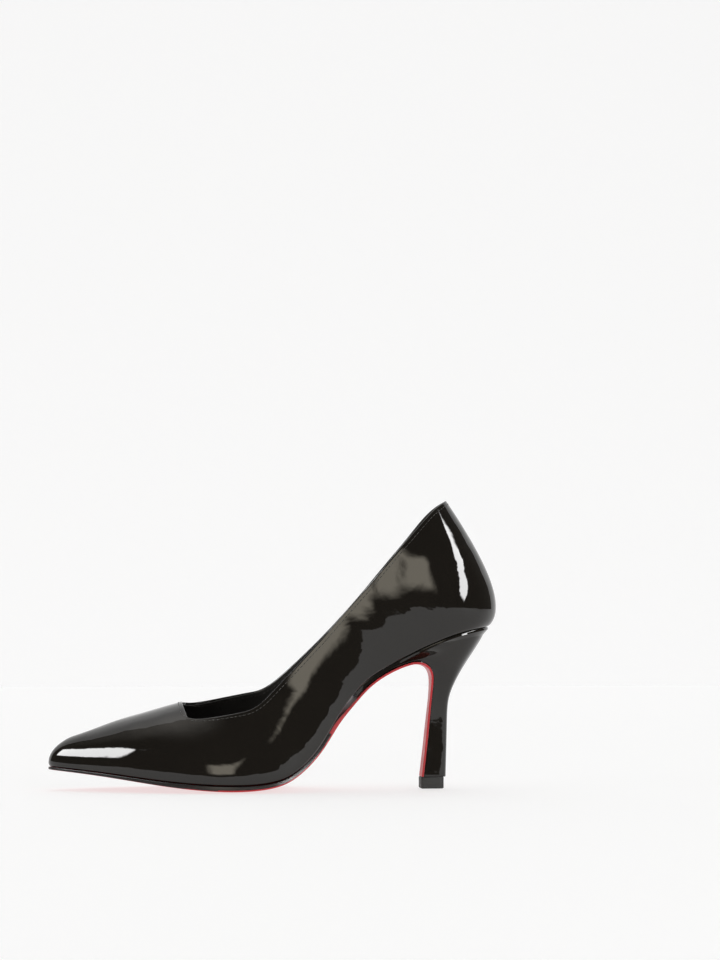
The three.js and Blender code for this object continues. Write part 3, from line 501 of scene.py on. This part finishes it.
def plain(name, dark, light, scale, rough, metal=0.0, stretch=(1, 1, 1), depth=0.2):
    n = Nodes(name)
    place = n.stretch(stretch)
    pattern = n.noise(scale, 4, 0.65, place=place)
    return n.finish(Base_Color=n.blend(n.ramp(pattern, 0.3, 0.7, 0, 1), dark, light), Metallic=metal,
                    Roughness=n.ramp(pattern, 0.3, 0.7, rough - 0.1, rough + 0.1),
                    Normal=n.bump(pattern, depth, 0.0002))


def thread(name):
    n = Nodes(name)
    twist = n.node("ShaderNodeTexWave", {"Vector": n.place, "Scale": 900, "Distortion": 0.4},
                   bands_direction="DIAGONAL").outputs["Fac"]
    colour = n.blend(twist, (0.012, 0.011, 0.009, 1), (0.036, 0.032, 0.026, 1))
    return n.finish(Base_Color=colour, Roughness=n.ramp(twist, 0, 1, 0.35, 0.55),
                    Normal=n.bump(twist, 0.4, 0.0001))


PATENT = patent_leather("patent")
PATENT_HEEL = patent_leather("patent_heel", 0.6)
LINING_MAT = grain_leather("lining", (0.01, 0.0095, 0.009, 1), (0.022, 0.02, 0.018, 1), 0.5)
SOCK_MAT = grain_leather("sock", (0.012, 0.011, 0.01, 1), (0.026, 0.024, 0.021, 1), 0.42)
NAP = nap_leather("nap")
RED = sole_lacquer("sole_red")
INK = edge_ink("edge_ink")
RUBBER = cast_rubber("tip_rubber")
THREAD = thread("thread")
HIDDEN = {
    "toe_puff": plain("puff", (0.5, 0.46, 0.36, 1), (0.66, 0.62, 0.52, 1), 400, 0.75),
    "heel_counter": plain("counter", (0.3, 0.2, 0.11, 1), (0.46, 0.34, 0.2, 1), 700, 0.85,
                          stretch=(1, 1, 0.4)),
    "insole_board": plain("board", (0.34, 0.24, 0.13, 1), (0.5, 0.38, 0.24, 1), 900, 0.85),
    "bottom_filler": plain("cork", (0.28, 0.17, 0.08, 1), (0.55, 0.38, 0.22, 1), 500, 0.9, depth=0.5),
    "heel_block": plain("moulded", (0.02, 0.02, 0.022, 1), (0.035, 0.035, 0.038, 1), 300, 0.5, depth=0.1),
}
STEEL = plain("steel", (0.42, 0.43, 0.44, 1), (0.6, 0.61, 0.62, 1), 600, 0.32, 1.0, (0.08, 1, 1), 0.15)
FOAM = plain("foam", (0.55, 0.5, 0.4, 1), (0.78, 0.73, 0.62, 1), 1500, 0.9, depth=0.6)
STEELS = ["steel_shank", "shank_rivet_rear", "shank_rivet_front", "heel_screw", "heel_tube", "top_piece_pin"]
STEELS += [f"heel_nail_{k}" for k in range(1, 5)]
for node_name, made in list(HIDDEN.items()) + [(node_name, STEEL) for node_name in STEELS]:
    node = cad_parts[node_name]
    node.data.materials.clear()
    node.data.materials.append(made)


def settle(piece, slot_name, *nodes):
    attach(piece, "root")
    if nodes:
        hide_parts(*nodes)
    return piece


# ------------------------------------------------------------ upper
SLIT = SEAM / 2 / float(edge_y(LAST + 0.5) - edge_y(LAST - 0.5))
ROUND_IN = 1.6  # reach of the lasted edge's rounding
WALL_ROWS = 1 - (1 - np.linspace(0, 1, 49)) ** 1.25


def margin_of(t):
    return mix(MARGIN, MARGIN_HEEL, ease(from_toe(t), 9.6, 10.8))


def low_start(t):
    tall = np.linalg.norm(skin(t, np.full_like(t, 0.1)) - skin(t, np.zeros_like(t)), axis=-1)
    return 0.1 * ROUND_IN / tall


def upper_wall(t, s, depth):
    v = mix(low_start(t), panel_top(t), s)
    return wall_at(t, v, np.broadcast_to(depth, v.shape))


def upper_foot(t, s, depth):
    a = upper_wall(t, np.zeros_like(s), depth)
    b = turned_in(t, depth, depth)
    c = turned_in(t, depth * 0.6 + ROUND_IN, depth)
    s = s[..., None]
    return (1 - s) ** 2 * a + 2 * s * (1 - s) * b + s * s * c


def upper_margin(t, s, depth):
    return turned_in(t, mix(depth * 0.6 + ROUND_IN, margin_of(t), s), depth)


around = columns(-LAST + SLIT, LAST - SLIT)
vamp = columns(-THROAT, THROAT)


def faces_of(cols, rows, at, thick):
    """Outer and inner grid of a sheet, thick apart, from at(t, s, depth)."""
    return grid(cols, rows, lambda t, s: at(t, s, 0.0)), grid(cols, rows, lambda t, s: at(t, s, thick))


def vamp_dome(t, s, depth):
    v = mix(panel_top(t), 1, s)
    return wall_at(t, v, np.broadcast_to(depth, v.shape))


upper = shell("patent_upper", [faces_of(around, WALL_ROWS, upper_wall, UPPER),
                               faces_of(around, np.linspace(0, 1, 7), upper_foot, UPPER),
                               faces_of(around, np.linspace(0, 1, 4), upper_margin, UPPER),
                               faces_of(vamp, np.linspace(0, 1, 25), vamp_dome, UPPER)], [PATENT])
settle(upper, "patent_leather", "upper")


# ------------------------------------------------------------ linings
def lining_piece(name, t0, t1, covered, made, slot_name, node_name):
    def depth(t, s):
        return UPPER + GAP + bulge(t, s)

    def wall(t, s, extra):
        return wall_at(t, s * panel_top(t), depth(t, s) + extra)

    def foot(t, s, extra):
        first = turned_in(t, depth(t, 0 * s) + extra, UPPER + GAP + extra)
        last = turned_in(t, depth(t, 0 * s) + LINING + LINING_MARGIN * 0.7, UPPER + GAP + extra)
        return mix(first, last, s[..., None])

    def joined(t, s, extra):
        corner = turned_in(t, depth(t, 0 * s) + extra, UPPER + GAP + extra)
        return np.where((s > 0)[..., None], wall(t, s, extra), corner)

    def over(t, s, extra):
        return wall_at(t, mix(panel_top(t), 1, s), depth(t, 0 * s) + extra)

    cols = columns(t0, t1)
    patches = [faces_of(cols, np.linspace(0, 1, 33), joined, LINING),
               faces_of(cols, np.linspace(0, 1, 3), foot, LINING)]
    if covered:
        patches.append(faces_of(vamp, np.linspace(0, 1, 17), over, LINING))
    return settle(shell(name, patches, [made], rim_rows=4), slot_name, node_name)


FRONT_LINING, GRIP, SPLIT = 6.4, 11.15, 0.008
lining_piece("lining_vamp", -FRONT_LINING, FRONT_LINING, True, LINING_MAT, "lining_leather", "vamp_lining")
lining_piece("lining_outer", FRONT_LINING + 2 * SPLIT, GRIP - 2 * SPLIT, False, LINING_MAT,
             "lining_leather", "quarter_lining_outer")
lining_piece("lining_inner", ROUND - GRIP + 2 * SPLIT, ROUND - FRONT_LINING - 2 * SPLIT, False, LINING_MAT,
             "lining_leather", "quarter_lining_inner")
lining_piece("lining_grip", GRIP, ROUND - GRIP, False, NAP, "grip_leather", "heel_grip_lining")


# ------------------------------------------------------------ stitching round the topline
STITCH_LONG, STITCH_PITCH, STITCH_WIDE = 1.75, 2.35, 0.2
STITCH_ARCH, STITCH_SUNK = 0.14, 0.1  # rise of a stitch's middle, and how deep its ends sit
STITCH_IN = 1.7  # distance of the row from the edge


def edge_path():
    """Places (t, v) along a line a little inside the topline, from the back to the middle of the throat."""
    run = []
    for side in (1, -1):
        t = side * np.linspace(LAST - 0.06, THROAT, 260)
        tall = np.linalg.norm(skin(t, top_cut(t)) - skin(t, top_cut(t) - 0.02), axis=-1) / 0.02
        v = top_cut(t) - STITCH_IN / tall
        corner, ahead = skin(np.array(side * THROAT), 0.8), skin(np.array(side * (THROAT - 0.1)), 0.8)
        back = STITCH_IN / (np.linalg.norm(corner - ahead) / 0.1)
        climb = np.linspace(v[-1], 0.995, 60)
        front = THROAT - back * ease(climb, v[-1] - 0.002, v[-1] + 0.07)
        run.append((np.concatenate([t, side * front]), np.concatenate([v, climb])))
    return run


def stitch_row(name, depth, proud):
    verts, faces = [], []
    total = 0
    for t, v in edge_path():
        p = wall_at(t, v, np.full(t.shape, depth - proud))
        n = wall_normal(t, v) * (1 if proud > 0 else -1)
        far = np.concatenate([[0], np.cumsum(np.linalg.norm(np.diff(p, axis=0), axis=1))])

        def sample(s, track):
            return np.stack([np.interp(s, far, track[:, k]) for k in range(3)], -1)

        for start in np.arange(0.8, far[-1] - STITCH_LONG, STITCH_PITCH):
            s = np.linspace(start, start + STITCH_LONG, 7)
            centre, normal = sample(s, p), unit(sample(s, n))
            along = unit(np.gradient(centre, axis=0))
            side = unit(np.cross(along, normal))
            arch = np.sin(np.linspace(0, math.pi, 7))
            thick = STITCH_WIDE * np.sqrt(np.clip(1 - np.linspace(-0.97, 0.97, 7) ** 4, 0, 1))
            centre = centre + normal * (STITCH_ARCH * arch - STITCH_SUNK)[:, None]
            wide, high = side * thick[:, None], normal * 0.7 * thick[:, None]
            ring = [centre + wide * math.cos(a) + high * math.sin(a)
                    for a in np.linspace(0, 2 * math.pi, 9)[:-1]]
            block = np.stack(ring, 1)
            verts.append(block.reshape(-1, 3))
            for i in range(6):
                for k in range(8):
                    a, b = total + i * 8 + k, total + i * 8 + (k + 1) % 8
                    faces.append([a, b, b + 8, a + 8])
            faces.append([total + k for k in range(8)])
            faces.append([total + 48 + k for k in range(8)][::-1])
            total += 56
    return settle(mesh_object(name, np.concatenate(verts), faces, [THREAD]), "lining_leather")


stitch_row("topline_stitches", 0.0, 0.05)
stitch_row("lining_stitches", UPPER + GAP + LINING, -0.05)


# ------------------------------------------------------------ sock lining and pads
PADS = {"heel_pad": (36, -0.5, 24, 13), "forefoot_pad": (150, -1, 25, 19)}


def lift(f, y):
    most = 0
    for pf, py, long, half in PADS.values():
        most = np.maximum(most, PAD * (1 - ease(np.hypot((f - pf) / long, (y - py) / half), 1.05, 1.5)))
    return most


def sock_at(t, q, h):
    edge = inset_plan(t, WALLS + bulge(t, 0 * t) + 0.6)
    p = mix(edge, spine(t), q[..., None])
    low = PAD_LOW + 0.3 + lift(p[..., 0], p[..., 1])
    roll = 0.5 * np.exp(-(q * 14) ** 2) * (1 if h > 0 else 0)
    return floor_at(p[..., 0], p[..., 1], low + h - roll * 0.5)


sock_rows = np.concatenate([np.linspace(0, 0.2, 6), np.linspace(0.25, 1, 12)])
sock_cols = columns(0, ROUND, 0.1)
sock_top, sock_low = (grid(sock_cols, sock_rows, lambda t, q, h=h: sock_at(t, q, h)) for h in (SOCK, 0.0))
sock = shell("sock", [(sock_top, sock_low)], [SOCK_MAT], rim_rows=4, proud=0.6)
settle(sock, "lining_leather", "sock_lining")


def pad_piece(name, node_name):
    pf, py, long, half = PADS[node_name]

    def at(turn, r, top):
        f = pf + long * r * np.cos(turn)
        y = py + half * r * np.sin(turn)
        high = mix(PAD, PAD_EDGE, r ** 2.4) if top else 0.0 * r
        return floor_at(f, y, PAD_LOW + high)

    turns = np.linspace(0, 2 * math.pi, 73)
    rows = np.linspace(0, 1, 13)
    front = grid(turns, rows, lambda a, r: at(a, r, True))
    back = grid(turns, rows, lambda a, r: at(a, r, False))
    front[-1], back[-1] = front[0], back[0]
    piece = settle(shell(name, [(front, back)], [FOAM], rim_rows=3, proud=0.5), "cushion_foam", node_name)


pad_piece("heel_cushion", "heel_pad")
pad_piece("forefoot_cushion", "forefoot_pad")


# ------------------------------------------------------------ outsole
def arch_at(w, out):
    e = 0.01
    df, dz = arch_f(w + e) - arch_f(w - e), arch_z(w + e) - arch_z(w - e)
    size = np.hypot(df, dz)
    return arch_f(w) + dz / size * out, arch_z(w) - df / size * out


def breast_at(w):
    return arch_at(w, FLAP + 1.2 * GAP + 0.6 * (1 - ease(w, 2, 5)))


def sole_fore(t, k):
    f = station_f(t)
    r = 2 * k - 1
    full = 1 - ease(f, 112, 132)
    out = mix(edge_y(t) + 0.4, waist_out(f), full)
    inner = mix(edge_y(-t) - 0.4, waist_in(f), full)
    y = np.where(t == 0, 2, mix(out, inner, k))
    front = np.where(t == 0, f - 0.3, f)
    crown = 0.6 * (1 - r * r) * (1 - ease(f, 95, 120))
    low = floor_at(front, y, -GAP - sole_thick(f) - crown)
    low[..., 2] = np.maximum(low[..., 2], 0)
    return floor_at(front, y, np.full_like(f, -GAP)), low


def sole_arch(w, k):
    r = 2 * k - 1
    y = -2.8 * (1 - ease(w, 0, 6)) + r * arch_half(w)
    crown = 0.6 * (1 - r * r) * (1 - ease(w, 6, 9))
    hf, hz = arch_at(w, FLAP)
    lf, lz = arch_at(w, -crown)
    shift = skew(hf, y) + turned_by(hz, y)
    ceiling = under(hf + shift, y) - 1.6 * GAP
    return point(hf + shift, y, np.minimum(hz, ceiling)), point(lf + shift, y, lz)


across = np.linspace(0, 1, 33)
fore_t = columns(0, 8.6)
fore_t = np.concatenate([[0, 0.004, 0.012, 0.025], fore_t[1:]])
t_grid, k_grid = np.meshgrid(fore_t, across, indexing="ij")
fore = sole_fore(t_grid, k_grid)
w_grid, k_grid = np.meshgrid(np.linspace(1.15, 14, 130), across, indexing="ij")
breast = sole_arch(w_grid, k_grid)


def bridged(front, back, steps=14):
    """Rows of two sheets with a smooth stretch between them."""
    leave, enter = unit(front[-1] - front[-2]), unit(back[1] - back[0])
    gap = np.linalg.norm(back[0] - front[-1], axis=-1, keepdims=True)
    rows = []
    for s in np.linspace(0, 1, steps + 2)[1:-1]:
        rows.append((2 * s ** 3 - 3 * s * s + 1) * front[-1] + (s ** 3 - 2 * s * s + s) * gap * leave
                    + (3 * s * s - 2 * s ** 3) * back[0] + (s ** 3 - s * s) * gap * enter)
    return np.concatenate([front, np.stack(rows), back])


sole_top, sole_low = (bridged(a, b) for a, b in zip(fore, breast))
INK_F = [74, 84, 100, 150, 175]
INK_SHARE = [0, 0.4, 0.6, 0.62, 0.8]  # inked share of the edge at those distances


def sole_rim(share, place):
    return 1 if share < np.interp(-place[0], INK_F, INK_SHARE) else 0


sole = shell("red_sole", [(sole_top, sole_low)], [RED, INK], rim_rows=8, square=0.45, proud=0.35,
             rim_material=sole_rim)
settle(sole, "sole_leather_red", "outsole")


# ------------------------------------------------------------ covered heel
FULLEST, CORNER, WING_DEEP = 24, 2.5, 1.1


def heel_station(a):
    return WING_FRONT + a * (LAST - WING_FRONT)


def seat_plan(t, inset):
    return inset_plan(t, mix(0.6, 6.4, ease(station_f(t), 42, 74)) + inset)


def shaft_outline(b):
    angle = np.clip((b - 0.45) / 0.55, 0, 1) * math.pi / 2
    along = np.where(b < 0.45, b / 0.45 * 0.6, 0.6 + 0.4 * np.sin(angle) ** (2 / CORNER))
    return along, np.where(b < 0.45, 1, np.clip(np.cos(angle), 0, 1) ** (2 / CORNER))


def heel_section(a, j, inset):
    plan = seat_plan(heel_station(a), inset)
    side = np.where(a < 1, -1, 1)
    along, wide = shaft_outline(1 - np.abs(a - 1))
    front = np.array(breast_at(row_arch(j)))
    back = np.array([heel_back_f(j), heel_back_z(j)])
    back = back + (front - back) * inset / np.linalg.norm(front - back)
    seat_front = seat_plan(np.array(WING_FRONT), inset)[0]
    seat_along = (seat_front - plan[..., 0]) / (seat_front - seat_plan(np.array(float(LAST)), inset)[0])
    seat = float(heel_seat(j))
    reached = mix(along, seat_along, seat)
    f = mix(front[0], back[0], reached)
    z = mix(front[1], back[1], reached) + heel_bow(j) * np.sin(math.pi * reached)
    half = float(heel_half(j)) - inset
    y = mix(side * wide * half, plan[..., 1] * half / (FULLEST - inset), seat)
    return point(f + skew(f, y) + turned_by(z, y), y, z)


def heel_under_seat(a, depth, inset):
    plan = seat_plan(heel_station(a), inset)
    return floor_at(plan[..., 0], plan[..., 1], -GAP - depth)


def heel_at(a, row, inset):
    if row <= 9:
        return heel_section(a, row, inset)
    if row > 10:
        return mix(heel_at(a, 10, inset), heel_under_seat(a, 0, inset), row - 10)
    share = row - 9
    made = mix(heel_section(a, 9, inset), heel_under_seat(a, WING_DEEP, inset), share)
    edge = np.where(a < 1, 0.0, 2.0)
    start = mix(heel_section(edge, 9, inset), heel_under_seat(edge, WING_DEEP, inset), share)
    foot = breast_at(row_arch(row))
    near = 1 - ease(1 - np.abs(a - 1), 0, 0.35)
    made[..., 0] += (-foot[0] - skew(foot[0], start[..., 1]) - start[..., 0]) * near
    made[..., 2] += (foot[1] - start[..., 2]) * near
    return made


heel_a = (columns(WING_FRONT, ROUND - WING_FRONT, 0.04) - WING_FRONT) / (LAST - WING_FRONT)
heel_rows = np.concatenate([np.linspace(0, 10, 141), [10.35, 10.7, 11]])
cover = [np.stack([heel_at(heel_a, row, inset) for row in heel_rows], 1) for inset in (0.0, COVER)]
heel_leather = shell("heel_leather", [tuple(cover)], [PATENT_HEEL], rim_rows=4, square=0.7, proud=0.3)
settle(heel_leather, "patent_leather", "heel_cover")


# ------------------------------------------------------------ heel tip
def tip_piece():
    back, front, half, pull, corner = 29.0, 41.4, 5.8, 3.0, 1.2
    corners = [(front, -half, corner), (back, -half, pull), (back, half, pull), (front, half, corner)]
    outline = []
    for k, (f, y, r) in enumerate(corners):
        c = np.array([f, y])
        before, after = np.array(corners[k - 1][:2]), np.array(corners[(k + 1) % 4][:2])
        a, b = c + unit(before - c) * r, c + unit(after - c) * r
        for s in np.linspace(0, 1, 13):
            outline.append((1 - s) ** 2 * a + 2 * s * (1 - s) * c + s * s * b)
    outline = np.array(outline)
    middle = np.array([34.4, 0.0])
    turn = math.atan(HEEL_TURN)
    levels = [(0, 0.5), (0.12, 0.2), (0.35, 0.05), (0.7, 0), (3, 0.02), (5.6, 0), (5.9, 0.06),
              (TIP_HEIGHT, 0.25)]  # height, and how far the outline is drawn in there
    normal = unit(np.roll(outline, -1, 0) - np.roll(outline, 1, 0))
    normal = np.stack([normal[:, 1], -normal[:, 0]], -1)
    normal *= np.sign((normal * (outline - middle)).sum(-1, keepdims=True))
    rings = []
    for z, inset in levels:
        ring = outline - normal * inset - middle
        f = ring[:, 0] * math.cos(turn) + ring[:, 1] * math.sin(turn) + middle[0]
        y = -ring[:, 0] * math.sin(turn) + ring[:, 1] * math.cos(turn)
        rings.append(point(f, y, np.full_like(f, z)))
    n = len(outline)
    faces = [list(range(n)), list(range(len(rings) * n - n, len(rings) * n))[::-1]]
    for i in range(len(rings) - 1):
        for k in range(n):
            faces.append([i * n + k, i * n + (k + 1) % n, (i + 1) * n + (k + 1) % n, (i + 1) * n + k])
    return mesh_object("heel_tip", np.concatenate(rings), faces, [RUBBER])


settle(tip_piece(), "tip_polyurethane", "top_piece")


# ------------------------------------------------------------ stage, light and camera
def stage_plane(name, points, colour, glow):
    mesh = bpy.data.meshes.new(name)
    mesh.from_pydata(points, [], [tuple(range(k, k + 4)) for k in range(0, len(points), 4)])
    made = bpy.data.materials.new(name)
    made.use_nodes = True
    shader = made.node_tree.nodes["Principled BSDF"]
    shader.inputs["Base Color"].default_value = colour
    shader.inputs["Roughness"].default_value = 0.85
    shader.inputs["Emission Color"].default_value = (1, 1, 1, 1)
    shader.inputs["Emission Strength"].default_value = glow
    mesh.materials.append(made)
    piece = bpy.data.objects.new(name, mesh)
    bpy.context.scene.collection.objects.link(piece)
    return piece


FLOOR_LOW = -0.0003
# The near floor and the backdrop show in the gloss; past them, plain floor and walls only close the view, m.
NEAR, SIDE, BACK, FAR, HIGH = -0.95, 2.5, 1.6, 8, 8


def flat(x0, x1, y0, y1):
    return [(x0, y0, FLOOR_LOW), (x1, y0, FLOOR_LOW), (x1, y1, FLOOR_LOW), (x0, y1, FLOOR_LOW)]


def wall(x0, y0, x1, y1):
    return [(x0, y0, FLOOR_LOW), (x1, y1, FLOOR_LOW), (x1, y1, HIGH), (x0, y0, HIGH)]


FLOOR_LOOK = (0.3, 0.3, 0.3, 1), 0.67  # colour and glow
WALL_LOOK = (0.3, 0.3, 0.3, 1), 0.73
stage_plane("floor", flat(-SIDE, SIDE, NEAR, BACK), *FLOOR_LOOK)
stage_plane("backdrop", wall(-SIDE, BACK, SIDE, BACK), *WALL_LOOK)
outer_floor = flat(-FAR, FAR, -FAR, NEAR) + flat(-FAR, -SIDE, NEAR, BACK) + flat(SIDE, FAR, NEAR, BACK)
outer_walls = (wall(-FAR, BACK, -SIDE, BACK) + wall(SIDE, BACK, FAR, BACK) + wall(-FAR, -FAR, FAR, -FAR)
               + wall(-FAR, -FAR, -FAR, BACK) + wall(FAR, -FAR, FAR, BACK))
for surround in (stage_plane("floor_outer", outer_floor, *FLOOR_LOOK),
                 stage_plane("walls", outer_walls, *WALL_LOOK)):
    surround.visible_glossy = surround.visible_diffuse = False


def fade_rim(data, edge):
    """Let a lamp's surface fade out towards its rim, over a share of its width."""
    data.use_nodes = True
    tree = data.node_tree
    sides = tree.nodes.new("ShaderNodeSeparateXYZ")
    tree.links.new(tree.nodes.new("ShaderNodeNewGeometry").outputs["Parametric"], sides.inputs[0])
    level = None
    for axis, dark, bright in ((0, 0, edge), (0, 1, 1 - edge), (1, 0, edge), (1, 1, 1 - edge)):
        fade = tree.nodes.new("ShaderNodeMapRange")
        fade.interpolation_type = "SMOOTHSTEP"
        fade.inputs["From Min"].default_value = dark
        fade.inputs["From Max"].default_value = bright
        tree.links.new(sides.outputs[axis], fade.inputs["Value"])
        if level is None:
            level = fade.outputs["Result"]
            continue
        both = tree.nodes.new("ShaderNodeMath")
        both.operation = "MULTIPLY"
        tree.links.new(level, both.inputs[0])
        tree.links.new(fade.outputs["Result"], both.inputs[1])
        level = both.outputs[0]
    tree.links.new(level, tree.nodes["Emission"].inputs["Strength"])


def area_light(name, place, aim, wide, tall, power, colour=(1, 1, 1), roll=0.0, edge=0.0):
    """Rectangular lamp. One with an edge is a reflector panel, seen only in the gloss and fading at its rim."""
    data = bpy.data.lights.new(name, "AREA")
    data.shape = "RECTANGLE"
    data.size, data.size_y, data.energy, data.color = wide, tall, power, colour
    lamp = bpy.data.objects.new(name, data)
    lamp.location = place
    turn = (Vector(aim) - Vector(place)).to_track_quat("-Z", "Y")
    lamp.rotation_euler = (turn @ Quaternion((0, 0, 1), math.radians(roll))).to_euler()
    lamp.visible_camera = False
    bpy.context.scene.collection.objects.link(lamp)
    if edge:
        lamp.visible_diffuse = False
        fade_rim(data, edge)
    return lamp


SHOE_TOE, SHOE_HEEL, SHOE_MIDDLE = (-0.095, -0.012, 0.02), (0.097, -0.02, 0.12), (0.05, 0, 0.05)
WARM, OLIVE = (1, 0.95, 0.88), (1, 0.92, 0.76)
area_light("overhead", (0, 0.5, 2.2), (0, 0.3, 0), 2.6, 1.8, 17).visible_glossy = False
area_light("fill", (0.5, -1.9, 0.7), SHOE_MIDDLE, 1.2, 0.9, 9).visible_glossy = False
area_light("ceiling", (-0.1, 0.35, 2.2), (0, 0.2, 0), 3.2, 2.4, 24, WARM, edge=0.5)
area_light("toe_box", (-1.31, -0.39, 1.0), SHOE_TOE, 1.2, 0.66, 42, edge=0.12)
area_light("heel_strip", (1.321, -0.834, 0.781), SHOE_HEEL, 1.85, 0.3, 30, roll=38.7, edge=0.12)
area_light("card", (-0.1, -2.3, 0.66), (-0.1, 0, 0.5), 1.0, 1.05, 9.5, OLIVE, edge=0.25)

world = bpy.data.worlds.new("room")
bpy.context.scene.world = world
world.use_nodes = True
background = world.node_tree.nodes["Background"]
background.inputs["Color"].default_value = (*WARM, 1)
background.inputs["Strength"].default_value = 0.12
bpy.context.scene.view_settings.view_transform = "Standard"

CAMERA_PLACE = (-0.086173, -1.996124, 0.1232)
CAMERA_YAW, CAMERA_PITCH = math.radians(3.8), math.radians(1.18379)
FILM, LENS = 36, 140.449  # mm
camera_data = bpy.data.cameras.new("camera")
camera_data.sensor_fit = "VERTICAL"
camera_data.sensor_height = FILM
camera_data.lens = LENS
camera = bpy.data.objects.new("camera", camera_data)
camera.location = CAMERA_PLACE
camera.rotation_euler = (math.pi / 2 + CAMERA_PITCH, 0, -CAMERA_YAW)
bpy.context.scene.collection.objects.link(camera)
bpy.context.scene.camera = camera

bpy.context.view_layer.update()
